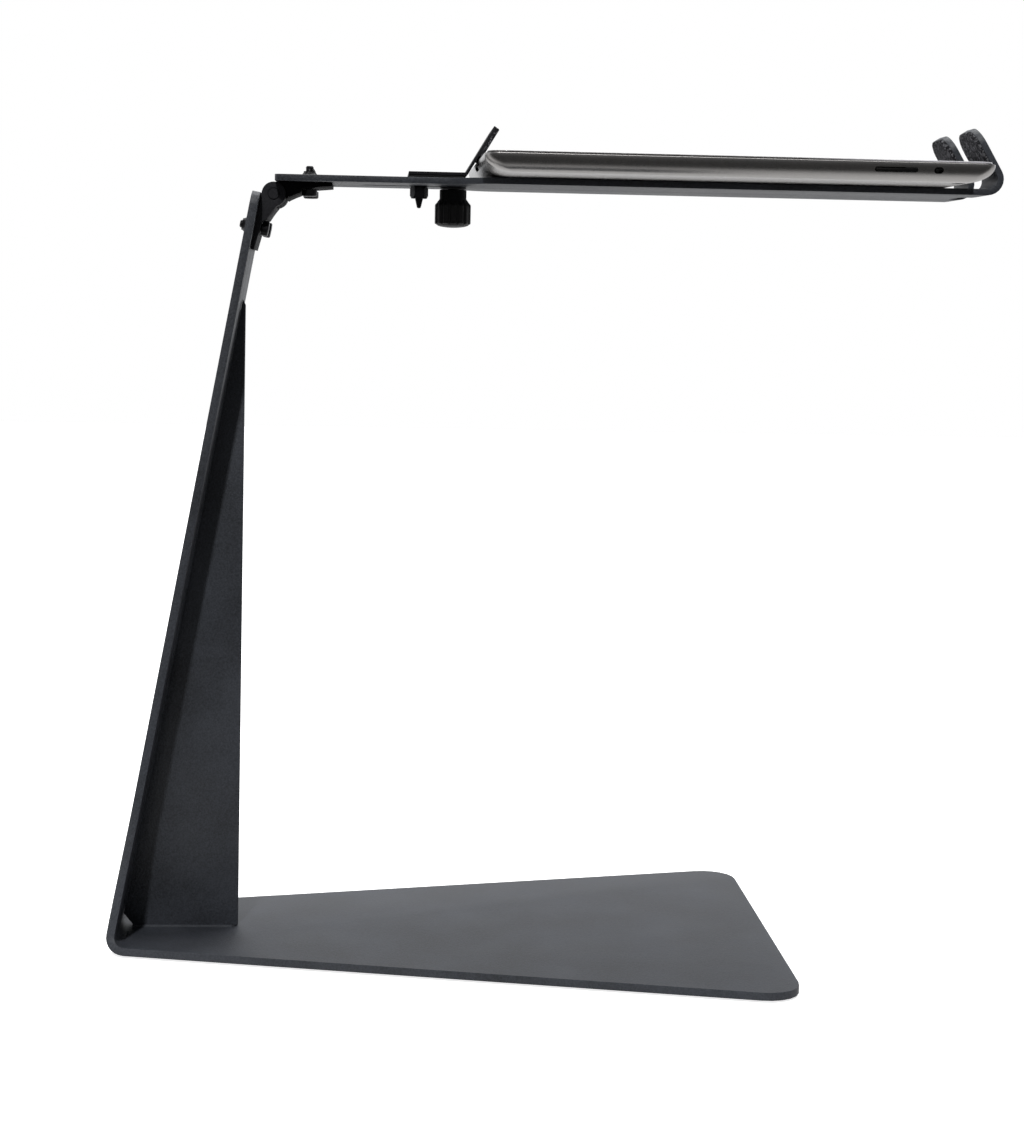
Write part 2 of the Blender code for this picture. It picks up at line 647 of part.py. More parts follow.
def build_clip(clip, washer, knob):
    """The sliding clip with its sole and pad, the stud that guides it, and the knob that clamps it."""
    bracket = piece("clip_bracket", prism([clip_outline()], 2 * CLIP_HALF_WIDTH, upright=True),
                    "powder_coat", clip)
    length = CLIP_BEND - CLIP_START - 1 * MM
    outline = rounded_rectangle(length, 2 * CLIP_HALF_WIDTH, SOLE_CORNER, 3)
    sole = piece("clip_sole", prism([outline], CLIP_SOLE), "rubber", clip,
                 (CLIP_START + length / 2, 0, CLIP_LOW - GAP - CLIP_SOLE / 2))
    for name, x in (("guide", GUIDE_PLACE), ("stud", STUD_PLACE)):
        bore = cylinder(BOLT_RADIUS + GAP, -THROUGH, THROUGH, 20)
        hole = cutter(f"clip_{name}_hole", bore, (x, 0, CLIP_LOW))
        boolean(bracket, hole)
        boolean(sole, hole)

    up = Vector((math.sin(CLIP_LEAN), 0, math.cos(CLIP_LEAN)))
    across = Vector((math.cos(CLIP_LEAN), 0, -math.sin(CLIP_LEAN)))
    thickness, height = CLIP_PAD
    tip = Vector((CLIP_BEND, 0, CLIP_LOW)) + up * (CLIP_RISE / math.cos(CLIP_LEAN))
    middle = tip - up * (GAP + height / 2) + across * (GAP + thickness / 2)
    pad = box((thickness, 2 * CLIP_HALF_WIDTH - 2 * GAP, height))
    piece("clip_pad", pad, "foam", clip, tuple(middle), (0, CLIP_LEAN, 0))

    flush = CLIP_LOW + CLIP_PLATE
    guide = stud_mesh(BOLT_RADIUS, flush - GUIDE_BOTTOM, GUIDE_TAPER)
    piece("guide_bolt", guide, "fastener_black", clip, (GUIDE_PLACE, 0, flush))
    piece("guide_nut", nut_mesh(*GUIDE_NUT), "fastener_black", clip, (GUIDE_PLACE, 0, ARM_BOTTOM - GAP),
          (math.pi, 0, 0))
    stud = stud_mesh(BOLT_RADIUS, flush - KNOB_BOTTOM - STUD_END, STUD_TAPER)
    piece("clamp_stud", stud, "fastener_black", clip, (STUD_PLACE, 0, flush))

    bore = BOLT_RADIUS + GAP
    top = ARM_BOTTOM - GAP
    ring = turned([(KNOB_NECK, 0), (KNOB_NECK, -WASHER), (bore, -WASHER), (bore, 0)], 24, closed=True)
    piece("knob_washer", ring, "fastener_black", washer, (STUD_PLACE, 0, top))
    build_knob(knob, top - WASHER - GAP)


def fluted_outline():
    """The knob's outline: round ribs between shallow flutes."""
    count = KNOB_FLUTES * 6
    points = []
    for i in range(count):
        angle = 2 * math.pi * i / count
        dip = FLUTE_DEPTH * max(0, math.cos(KNOB_FLUTES * angle)) ** 1.5
        points.append(((KNOB_RADIUS - dip) * math.cos(angle), (KNOB_RADIUS - dip) * math.sin(angle)))
    return points


def build_knob(knob, neck_top):
    """The fluted thumb knob, blind-bored from above, with its threaded insert."""
    middle = (KNOB_GRIP + KNOB_BOTTOM) / 2
    body = piece("clamp_knob", prism([fluted_outline()], KNOB_GRIP - KNOB_BOTTOM), "knob_plastic", knob,
                 (STUD_PLACE, 0, middle))
    rim = KNOB_RADIUS - KNOB_EASE
    neck = turned([(0, neck_top), (KNOB_NECK, neck_top), (KNOB_NECK, KNOB_TOP),
                   (rim, KNOB_GRIP), (rim, KNOB_GRIP - 1 * MM), (0, KNOB_GRIP - 1 * MM)], 24)
    boolean(body, cutter("knob_neck", neck, (STUD_PLACE, 0, 0)), "UNION")
    dome = [(rim * math.sin(math.radians(a)), -KNOB_DOME * math.cos(math.radians(a))) for a in (80, 55, 30, 0)]
    cap = turned([(0, 2 * MM), (rim, 2 * MM), (rim, 0)] + dome, 24)
    boolean(body, cutter("knob_cap", cap, (STUD_PLACE, 0, KNOB_BOTTOM)), "UNION")
    depth = neck_top - KNOB_BOTTOM - KNOB_FLOOR
    bore = cylinder(INSERT_RADIUS + GAP, -depth, 2 * MM, 24)
    boolean(body, cutter("knob_bore", bore, (STUD_PLACE, 0, neck_top)))
    inner = BOLT_RADIUS + GAP
    top = -GAP
    low = 2 * GAP - depth
    ring = turned([(INSERT_RADIUS, top), (INSERT_RADIUS, low), (inner, low), (inner, top)], 24, closed=True)
    piece("knob_insert", ring, "brass", knob, (STUD_PLACE, 0, neck_top))


# ---------------------------------------------------------------- tablet


def shell_rings():
    """(inset, height) of the tablet's back, from its flat bottom to its rim."""
    rings = [(EDGE_INSET, 0)]
    for angle in (20, 38, 56, 74):
        a = math.radians(angle)
        rings.append((EDGE_INSET * (1 - math.sin(a)), (EDGE_RISE - 0.2 * MM) * (1 - math.cos(a))))
    return rings + [(0, EDGE_RISE), (0, SHELL_HEIGHT)]


def shell_surface():
    """The open outer surface of the back: a flat bottom and rings up to the rim."""
    bm = bmesh.new()
    loops = []
    for inset, z in shell_rings():
        outline = rounded_rectangle(TABLET_LENGTH - 2 * inset, TABLET_WIDTH - 2 * inset,
                                    max(TABLET_CORNER - inset * 0.6, 3 * MM), 4)
        loops.append([bm.verts.new((x, y, z)) for x, y in outline])
    bm.faces.new(list(reversed(loops[0])))
    for low, high in zip(loops, loops[1:]):
        for i, j in zip(range(len(low)), list(range(1, len(low))) + [0]):
            bm.faces.new((low[i], low[j], high[j], high[i]))
    mesh = bpy.data.meshes.new("shell")
    bm.to_mesh(mesh)
    bm.free()
    return mesh


def flat_piece(name, finish, tablet, size, place, low):
    """A flat block inside the tablet: size (length, width, thickness), place from its centre."""
    length, width, thickness = (v * MM for v in size)
    mesh = prism([rounded_rectangle(length, width, min(length, width) * 0.12, 2)], thickness)
    middle = TABLET_START + TABLET_LENGTH / 2
    return piece(name, mesh, finish, tablet,
                 (middle + place[0] * MM, place[1] * MM, TABLET_BOTTOM + low * MM + thickness / 2))


def build_tablet(tablet):
    """The tablet's shell, glass and the parts inside it."""
    middle = TABLET_START + TABLET_LENGTH / 2
    shell = piece("tablet_back_shell", shell_surface(), "tablet_metal", tablet, (middle, 0, TABLET_BOTTOM))
    wall = shell.modifiers.new("wall", "SOLIDIFY")
    wall.thickness = SHELL_WALL
    wall.offset = -1
    wall.use_even_offset = True

    near = -TABLET_WIDTH / 2
    key_z = TABLET_BOTTOM + KEY_HEIGHT
    for name, (x, length), height in (("rocker", ROCKER_PLACE, KEY_SLOT), ("mute", MUTE_PLACE, MUTE_HEIGHT)):
        hole = prism([slot_outline(-length / 2, length / 2, height, 4)], SLOT_CUT, upright=True)
        boolean(shell, cutter(f"{name}_slot", hole, (x, near, key_z)))
    end = TABLET_START + TABLET_LENGTH
    power_y, power_length = POWER_PLACE
    boolean(shell, cutter("power_slot", box((SLOT_CUT, power_length, KEY_SLOT)), (end, power_y, key_z)))
    jack_at = (end, JACK_PLACE[0], key_z + JACK_PLACE[1])
    hole = cylinder(JACK_RADIUS + GAP, -SLOT_CUT / 2, SLOT_CUT / 2, 16, "X")
    boolean(shell, cutter("jack_hole", hole, jack_at))
    hole = box((SLOT_CUT, *DOCK_SLOT))
    boolean(shell, cutter("dock_slot", hole, (TABLET_START, 0, key_z + DOCK_RAISED)))
    lens = (end - CAMERA_INSET, near + CAMERA_INSET, TABLET_BOTTOM)
    hole = cylinder(WINDOW_RADIUS + GAP, -SLOT_CUT / 2, SLOT_CUT / 2, 20)
    boolean(shell, cutter("camera_hole", hole, lens))

    rim = SHELL_WALL + GAP
    glass = prism([rounded_rectangle(TABLET_LENGTH - 2 * rim, TABLET_WIDTH - 2 * rim, TABLET_CORNER - MM, 4),
                   list(reversed(arc((HOME_PLACE - middle, 0), HOME_RADIUS + GAP, 0, 342, 19)))], GLASS)
    piece("tablet_front_glass", glass, "front_glass", tablet,
          (middle, 0, TABLET_BOTTOM + GLASS_TOP - GLASS / 2))
    for name, (finish, size, place, low) in INNER_PARTS.items():
        flat_piece(name, finish, tablet, size, place, low)
    jack = cylinder(JACK_RADIUS, -13 * MM, -SLOT_CUT / 2 - 2 * GAP, 16, "X")
    piece("headphone_jack", jack, "pin_steel", tablet, jack_at)
    piece("rear_camera", cylinder(CAMERA_RADIUS, 2.1 * MM, 6.4 * MM, 20), "key_black", tablet, lens)
    piece("rear_camera_window", cylinder(WINDOW_RADIUS, 0.1 * MM, 1.6 * MM, 20), "display", tablet, lens)


def build_keys(keys):
    """The tablet's home, power and volume keys and its mute switch, each on its own pivot."""
    home = turned([(0, 0), (HOME_RADIUS, 0), (HOME_RADIUS, -HOME_DEPTH), (0, -HOME_DEPTH)], 24)
    piece("home_button", home, "front_glass", keys["home"], tuple(keys["home"]["at"]))
    length = ROCKER_PLACE[1] - KEY_CLEAR
    rocker = prism([slot_outline(-length / 2, length / 2, KEY_SLOT - KEY_CLEAR, 4)], 2.2 * MM, upright=True)
    piece("volume_rocker", rocker, "key_black", keys["rocker"],
          (ROCKER_PLACE[0], MM - TABLET_WIDTH / 2, keys["rocker"]["at"][2]))
    mute = prism([slot_outline(-1.1 * MM, 1.1 * MM, 2.1 * MM, 4)], 2 * MM, upright=True)
    piece("mute_switch", mute, "key_black", keys["mute"], tuple(keys["mute"]["at"]))
    power = box((2.2 * MM, POWER_PLACE[1] - KEY_CLEAR, KEY_SLOT - KEY_CLEAR))
    piece("power_button", power, "key_black", keys["power"], tuple(keys["power"]["at"]))


# ---------------------------------------------------------------- assembly

clear_scene()
PARTS = collection("video_magnifier")
CUTTERS = collection("cutters")

HEEL = pivot("heel", (0, 0, 0))
HEEL.location = (-ROW_CENTRE, 0, 0)
ARM = pivot("arm_tilt_axis", (PIN[0], 0, PIN[1]), HEEL)
CLIP = pivot("clip_slide_axis", (STUD_PLACE, 0, ARM_TOP), ARM)
RING = pivot("knob_drop_axis", (STUD_PLACE, 0, ARM_BOTTOM), CLIP)
KNOB = pivot("knob_turn_axis", (STUD_PLACE, 0, KNOB_TOP), RING)
TABLET = pivot("tablet_seat", (TABLET_START + TABLET_LENGTH / 2, 0, TABLET_BOTTOM), ARM)
KEY_Z = TABLET_BOTTOM + KEY_HEIGHT
NEAR = -TABLET_WIDTH / 2
KEYS = {
    "home": pivot("home_axis", (HOME_PLACE, 0, TABLET_BOTTOM + GLASS_TOP - HOME_SUNK), TABLET),
    "rocker": pivot("rocker_axis", (ROCKER_PLACE[0], NEAR + 2.1 * MM, KEY_Z), TABLET),
    "mute": pivot("mute_axis", (MUTE_PLACE[0] - 0.6 * MM, NEAR + 1.2 * MM, KEY_Z), TABLET),
    "power": pivot("power_axis", (TABLET_START + TABLET_LENGTH - 0.9 * MM, POWER_PLACE[0], KEY_Z), TABLET),
}

build_stand(HEEL)
build_hinge(HEEL, ARM)
build_arm(ARM)
build_clip(CLIP, RING, KNOB)
build_tablet(TABLET)
build_keys(KEYS)
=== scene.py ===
"""Looks of the desk video magnifier: powder-coated steel, black hinge and fasteners, foam and a tablet.

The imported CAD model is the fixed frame. Each sub-assembly below is a class that builds the detailed
pieces of one part of the object, in the row frame and in metres, and dresses them.
"""

from __future__ import annotations

import json
import logging
import math
from collections.abc import Callable, Iterable, Iterator, Mapping, Sequence
from contextlib import contextmanager
from dataclasses import dataclass, field
from enum import Enum

import bmesh
import bpy
from mathutils import Matrix, Vector, noise

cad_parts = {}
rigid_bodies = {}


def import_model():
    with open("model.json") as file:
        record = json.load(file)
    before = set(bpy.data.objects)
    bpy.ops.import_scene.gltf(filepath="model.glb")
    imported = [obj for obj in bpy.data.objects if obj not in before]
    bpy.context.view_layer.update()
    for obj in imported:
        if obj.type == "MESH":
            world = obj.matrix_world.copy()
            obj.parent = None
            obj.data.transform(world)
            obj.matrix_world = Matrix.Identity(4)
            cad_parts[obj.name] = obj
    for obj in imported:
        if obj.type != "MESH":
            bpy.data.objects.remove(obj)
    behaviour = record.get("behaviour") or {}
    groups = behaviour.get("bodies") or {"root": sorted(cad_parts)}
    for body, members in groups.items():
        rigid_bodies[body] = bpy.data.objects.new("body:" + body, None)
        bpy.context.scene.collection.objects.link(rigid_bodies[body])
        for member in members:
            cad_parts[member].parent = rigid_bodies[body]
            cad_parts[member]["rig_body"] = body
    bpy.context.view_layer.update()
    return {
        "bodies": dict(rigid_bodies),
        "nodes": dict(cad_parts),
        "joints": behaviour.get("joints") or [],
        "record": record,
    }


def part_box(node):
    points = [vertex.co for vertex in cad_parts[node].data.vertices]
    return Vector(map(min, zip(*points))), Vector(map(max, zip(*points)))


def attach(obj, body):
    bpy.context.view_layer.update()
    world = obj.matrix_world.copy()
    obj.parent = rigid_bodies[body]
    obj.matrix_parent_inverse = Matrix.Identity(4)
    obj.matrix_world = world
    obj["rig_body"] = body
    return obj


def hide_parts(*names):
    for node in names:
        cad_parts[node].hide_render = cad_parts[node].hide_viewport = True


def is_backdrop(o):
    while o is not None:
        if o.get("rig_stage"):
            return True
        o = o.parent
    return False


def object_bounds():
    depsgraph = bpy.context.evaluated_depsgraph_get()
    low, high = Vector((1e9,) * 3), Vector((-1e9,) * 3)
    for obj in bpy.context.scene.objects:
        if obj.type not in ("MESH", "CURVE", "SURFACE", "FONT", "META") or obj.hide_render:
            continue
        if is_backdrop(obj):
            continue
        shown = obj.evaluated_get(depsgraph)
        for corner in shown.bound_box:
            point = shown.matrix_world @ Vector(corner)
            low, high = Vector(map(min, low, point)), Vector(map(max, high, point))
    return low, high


log = logging.getLogger("magnifier")

MM = 0.001
IMAGE_WIDTH = 1024
IMAGE_HEIGHT = 1138
HEEL_BACK = 226.28
GAP = 0.3
UPRIGHT_LEAN = math.radians(10.7)
HOOK_LEAN = math.radians(31)
STAND_PLATE = 4.1
BASE_TOP = 5.6
ARM_UNDER = 396.4

VALUE = "NodeSocketFloat"
VECTOR = "NodeSocketVector"

Point = Sequence[float]
Colour = tuple[float, float, float]
Shape = Callable[[float], float]
Ring = tuple[float, float] | tuple[float, float, Shape]


# ------------------------------------------------------------------ node trees


class Graph:
    """A node tree with short ways to add nodes, set their inputs and join them."""

    def __init__(self, tree: bpy.types.NodeTree) -> None:
        """Keeps the tree that nodes are added to."""
        self.tree = tree

    def add(self, kind: str, inputs: dict | None = None, **settings: object) -> bpy.types.Node:
        """Adds one node.

        Args:
            kind: the node's type name.
            inputs: values or sockets by input name or index.
            settings: properties of the node.

        Returns:
            The new node.
        """
        node = self.tree.nodes.new(kind)
        for name, value in settings.items():
            setattr(node, name, value)
        for name, value in (inputs or {}).items():
            self.feed(node.inputs[name], value)
        return node

    def feed(self, socket: bpy.types.NodeSocket, value: object) -> None:
        """Links a socket into an input, or sets the input's own value."""
        if isinstance(value, bpy.types.NodeSocket):
            self.tree.links.new(value, socket)
        else:
            socket.default_value = value

    def math(self, operation: str, first: object, second: object = 0.0, third: object = 0.0,
             clamp: bool = False) -> bpy.types.NodeSocket:
        """The result of a math node."""
        values = dict(enumerate((first, second, third)))
        return self.add("ShaderNodeMath", values, operation=operation, use_clamp=clamp).outputs[0]

    def split(self, vector: object) -> Mapping[str, bpy.types.NodeSocket]:
        """The X, Y and Z of a vector, by name."""
        return self.add("ShaderNodeSeparateXYZ", {"Vector": vector}).outputs

    def ramp(self, value: object, stops: Sequence[tuple[float, float]]) -> bpy.types.NodeSocket:
        """A grey colour ramp through (position, value) stops."""
        node = self.add("ShaderNodeValToRGB", {"Fac": value})
        elements = node.color_ramp.elements
        while len(elements) < len(stops):
            elements.new(0.5)
        for element, (position, grey) in zip(elements, stops):
            element.position = position
            element.color = (grey, grey, grey, 1)
        return node.outputs["Color"]

    def mix(self, factor: object, first: object, second: object, blend: str = "MIX") -> bpy.types.NodeSocket:
        """A mix of two colours."""
        node = self.add("ShaderNodeMix", data_type="RGBA", blend_type=blend)
        self.feed(node.inputs["Factor"], factor)
        self.feed(node.inputs[6], first)
        self.feed(node.inputs[7], second)
        return node.outputs[2]


class SharedGroup:
    """A shader node group that several finishes place with their own values."""

    def __init__(self, name: str, sockets: Iterable[tuple[str, str, str]]) -> None:
        """Starts the group's tree.

        Args:
            name: the group's name.
            sockets: (name, INPUT or OUTPUT, socket type) for each socket.
        """
        self.tree = bpy.data.node_groups.new(name, "ShaderNodeTree")
        for socket, side, kind in sockets:
            self.tree.interface.new_socket(name=socket, in_out=side, socket_type=kind)
        self.graph = Graph(self.tree)
        self.into = self.graph.add("NodeGroupInput")
        self.out = self.graph.add("NodeGroupOutput")

    def place(self, graph: Graph, **inputs: object) -> bpy.types.Node:
        """Places the group in another tree with its inputs set."""
        node = graph.add("ShaderNodeGroup", node_tree=self.tree)
        for name, value in inputs.items():
            graph.feed(node.inputs[name.replace("_", " ")], value)
        return node


def build_grain() -> SharedGroup:
    """Fine and coarse grain of a sprayed or moulded surface, as a height and a mottled mask."""
    group = SharedGroup("surface_grain", [
        ("Vector", "INPUT", VECTOR), ("Grains per metre", "INPUT", VALUE), ("Mottle", "INPUT", VALUE),
        ("Height", "OUTPUT", VALUE), ("Mask", "OUTPUT", VALUE)])
    graph = group.graph
    place = group.into.outputs
    fine = graph.add("ShaderNodeTexNoise", {"Vector": place["Vector"], "Scale": place["Grains per metre"],
                                            "Detail": 3.0, "Roughness": 0.6})
    cells = graph.add("ShaderNodeTexVoronoi", {"Vector": place["Vector"], "Randomness": 1.0,
                                               "Scale": graph.math("MULTIPLY", place["Grains per metre"], 0.8)},
                      feature="SMOOTH_F1")
    coarse = graph.add("ShaderNodeTexNoise", {"Vector": place["Vector"], "Detail": 4.0,
                                              "Scale": graph.math("MULTIPLY", place["Grains per metre"], 0.02)})
    height = graph.math("SUBTRACT", fine.outputs["Fac"], graph.math("MULTIPLY", cells.outputs["Distance"], 0.5))
    broad = graph.math("MULTIPLY", graph.math("SUBTRACT", coarse.outputs["Fac"], 0.5), place["Mottle"])
    graph.feed(group.out.inputs["Height"], height)
    graph.feed(group.out.inputs["Mask"], graph.math("ADD", fine.outputs["Fac"], broad, clamp=True))
    return group


def build_edge_wear() -> SharedGroup:
    """A mask of the sharp edges, broken up by noise, where a finish is thin or rubbed."""
    group = SharedGroup("edge_wear", [
        ("Vector", "INPUT", VECTOR), ("Radius", "INPUT", VALUE), ("Breakup per metre", "INPUT", VALUE),
        ("Mask", "OUTPUT", VALUE)])
    graph = group.graph
    place = group.into.outputs
    bevel = graph.add("ShaderNodeBevel", {"Radius": place["Radius"]}, samples=4)
    facing = graph.add("ShaderNodeNewGeometry")
    dot = graph.add("ShaderNodeVectorMath", {0: bevel.outputs["Normal"], 1: facing.outputs["Normal"]},
                    operation="DOT_PRODUCT")
    edge = graph.math("MULTIPLY", graph.math("SUBTRACT", 1.0, dot.outputs["Value"]), 6.0, clamp=True)
    noise = graph.add("ShaderNodeTexNoise", {"Vector": place["Vector"], "Scale": place["Breakup per metre"],
                                             "Detail": 5.0, "Roughness": 0.7})
    broken = graph.ramp(noise.outputs["Fac"], [(0.35, 0.0), (0.62, 1.0)])
    graph.feed(group.out.inputs["Mask"], graph.math("MULTIPLY", edge, broken, clamp=True))
    return group


def build_dust() -> SharedGroup:
    """A mask of light dust and handling marks, heavier on faces that look up."""
    group = SharedGroup("handling_dust", [
        ("Vector", "INPUT", VECTOR), ("Specks per metre", "INPUT", VALUE), ("Mask", "OUTPUT", VALUE)])
    graph = group.graph
    place = group.into.outputs
    facing = graph.add("ShaderNodeNewGeometry")
    split = graph.split(facing.outputs["Normal"])
    upward = graph.ramp(split["Z"], [(0.2, 0.25), (1.0, 1.0)])
    smear = graph.add("ShaderNodeTexNoise", {"Vector": place["Vector"], "Scale": 22.0, "Detail": 6.0,
                                             "Distortion": 0.8})
    specks = graph.add("ShaderNodeTexVoronoi", {"Vector": place["Vector"], "Scale": place["Specks per metre"]})
    dots = graph.ramp(specks.outputs["Distance"], [(0.03, 1.0), (0.12, 0.0)])
    soft = graph.ramp(smear.outputs["Fac"], [(0.45, 0.0), (0.75, 0.6)])
    both = graph.math("ADD", soft, graph.math("MULTIPLY", dots, 0.5), clamp=True)
    graph.feed(group.out.inputs["Mask"], graph.math("MULTIPLY", both, upward, clamp=True))
    return group


@dataclass
class Effects:
    """The shared effects, built once for all finishes."""

    grain: SharedGroup = field(default_factory=build_grain)
    wear: SharedGroup = field(default_factory=build_edge_wear)
    dust: SharedGroup = field(default_factory=build_dust)


# ------------------------------------------------------------------ finishes


def blank_material(name: str) -> tuple[bpy.types.Material, Graph, bpy.types.Node]:
    """A new material with its node tree and its surface shader."""
    made = bpy.data.materials.new(name)
    made.use_nodes = True
    return made, Graph(made.node_tree), made.node_tree.nodes["Principled BSDF"]


@dataclass(frozen=True)
class Coating:
    """A coated, moulded or blasted surface: a base colour with grain, mottle, wear and dust."""

    name: str
    colour: Colour
    roughness: float
    metallic: float = 0.0
    grains: float = 1500.0
    bump: float = 0.25
    depth: float = 0.00006
    mottle: float = 0.8
    contrast: float = 0.35
    wear: float = 0.0
    wear_colour: Colour = (0.25, 0.25, 0.26)
    wear_radius: float = 0.0006
    dust: float = 0.0
    coat: float = 0.0
    specular: float = 0.5

    def build(self, effects: Effects) -> bpy.types.Material:
        """Makes the material.

        Args:
            effects: the shared node groups.

        Returns:
            The finished material.
        """
        made, graph, shader = blank_material(self.name)
        where = graph.add("ShaderNodeTexCoord").outputs["Object"]
        grain = effects.grain.place(graph, Vector=where, Grains_per_metre=self.grains, Mottle=self.mottle)
        dark = tuple(c * (1 - self.contrast) for c in self.colour)
        light = tuple(min(1, c * (1 + self.contrast)) for c in self.colour)
        spread = graph.ramp(grain.outputs["Mask"], [(0.25, 0.0), (0.75, 1.0)])
        colour = graph.mix(spread, (*dark, 1), (*light, 1))
        rough = graph.math("MULTIPLY_ADD", grain.outputs["Mask"], 0.16, self.roughness - 0.08)
        if self.wear:
            wear = effects.wear.place(graph, Vector=where, Radius=self.wear_radius, Breakup_per_metre=220.0)
            share = graph.math("MULTIPLY", wear.outputs["Mask"], self.wear, clamp=True)
            colour = graph.mix(share, colour, (*self.wear_colour, 1))
        if self.dust:
            dust = effects.dust.place(graph, Vector=where, Specks_per_metre=160.0)
            share = graph.math("MULTIPLY", dust.outputs["Mask"], self.dust, clamp=True)
            colour = graph.mix(share, colour, (0.32, 0.32, 0.31, 1))
            rough = graph.math("ADD", rough, graph.math("MULTIPLY", share, 0.3), clamp=True)
        bump = graph.add("ShaderNodeBump", {"Height": grain.outputs["Height"], "Strength": self.bump,
                                            "Distance": self.depth})
        graph.feed(shader.inputs["Base Color"], colour)
        graph.feed(shader.inputs["Roughness"], rough)
        graph.feed(shader.inputs["Normal"], bump.outputs["Normal"])
        shader.inputs["Metallic"].default_value = self.metallic
        shader.inputs["Coat Weight"].default_value = self.coat
        shader.inputs["Specular IOR Level"].default_value = self.specular
        return made


@dataclass(frozen=True)
class Speckled:
    """Closed-cell foam: a dull dark ground with pale specks of two sizes."""

    name: str
    ground: Colour
    speck: Colour
    cells: float = 1500.0
    cover: float = 0.32

    def build(self, effects: Effects) -> bpy.types.Material:
        """Makes the material.

        Args:
            effects: the shared node groups.

        Returns:
            The finished material.
        """
        made, graph, shader = blank_material(self.name)
        where = graph.add("ShaderNodeTexCoord").outputs["Object"]
        grain = effects.grain.place(graph, Vector=where, Grains_per_metre=self.cells, Mottle=0.6)
        colour: object = (*self.ground, 1)
        for scale, share in ((1.0, self.cover), (0.45, self.cover * 0.6)):
            cells = graph.add("ShaderNodeTexVoronoi", {"Vector": where, "Scale": self.cells * scale})
            tone = graph.add("ShaderNodeSeparateColor", {"Color": cells.outputs["Color"]})
            lit = graph.math("LESS_THAN", tone.outputs["Red"], share)
            strength = graph.math("MULTIPLY", lit, tone.outputs["Green"])
            colour = graph.mix(strength, colour, (*self.speck, 1))
        bump = graph.add("ShaderNodeBump", {"Height": grain.outputs["Height"], "Strength": 0.6,
                                            "Distance": 0.15 * MM})
        graph.feed(shader.inputs["Base Color"], colour)
        graph.feed(shader.inputs["Normal"], bump.outputs["Normal"])
        shader.inputs["Roughness"].default_value = 0.92
        shader.inputs["Specular IOR Level"].default_value = 0.2
        return made


@dataclass(frozen=True)
class FrontGlass:
    """The tablet's front: a pale frame behind gloss glass round a dark display window.

    Its edge has the darker rim colour, which fades to the frame's from pale_edge along X.
    """

    name: str
    frame: Colour
    window: Colour
    rim: Colour
    middle: float
    half_size: tuple[float, float]
    pale_edge: float
    fade: float = 0.05

    def build(self, effects: Effects) -> bpy.types.Material:
        """Makes the material.

        Args:
            effects: the shared node groups.

        Returns:
            The finished material.
        """
        made, graph, shader = blank_material(self.name)
        coordinates = graph.add("ShaderNodeTexCoord")
        where = coordinates.outputs["Object"]
        split = graph.split(where)
        along = graph.math("ABSOLUTE", graph.math("SUBTRACT", split["X"], self.middle))
        across = graph.math("ABSOLUTE", split["Y"])
        inside = graph.math("MULTIPLY", graph.math("LESS_THAN", along, self.half_size[0]),
                            graph.math("LESS_THAN", across, self.half_size[1]))
        dust = effects.dust.place(graph, Vector=where, Specks_per_metre=140.0)
        normal = graph.split(coordinates.outputs["Normal"])
        side = graph.math("LESS_THAN", normal["Z"], 0.8)
        under = graph.math("LESS_THAN", normal["Z"], -0.5)
        fade = graph.math("DIVIDE", graph.math("SUBTRACT", self.pale_edge + self.fade, split["X"]),
                          self.fade, clamp=True)
        front = graph.mix(inside, (*self.frame, 1), (*self.window, 1))
        dark = graph.math("MAXIMUM", under, graph.math("MULTIPLY", side, fade))
        colour = graph.mix(dark, front, (*self.rim, 1))
        smear = graph.math("MULTIPLY_ADD", dust.outputs["Mask"], 0.12, 0.05)
        graph.feed(shader.inputs["Base Color"], colour)
        graph.feed(shader.inputs["Roughness"], smear)
        shader.inputs["Coat Weight"].default_value = 0.4
        return made


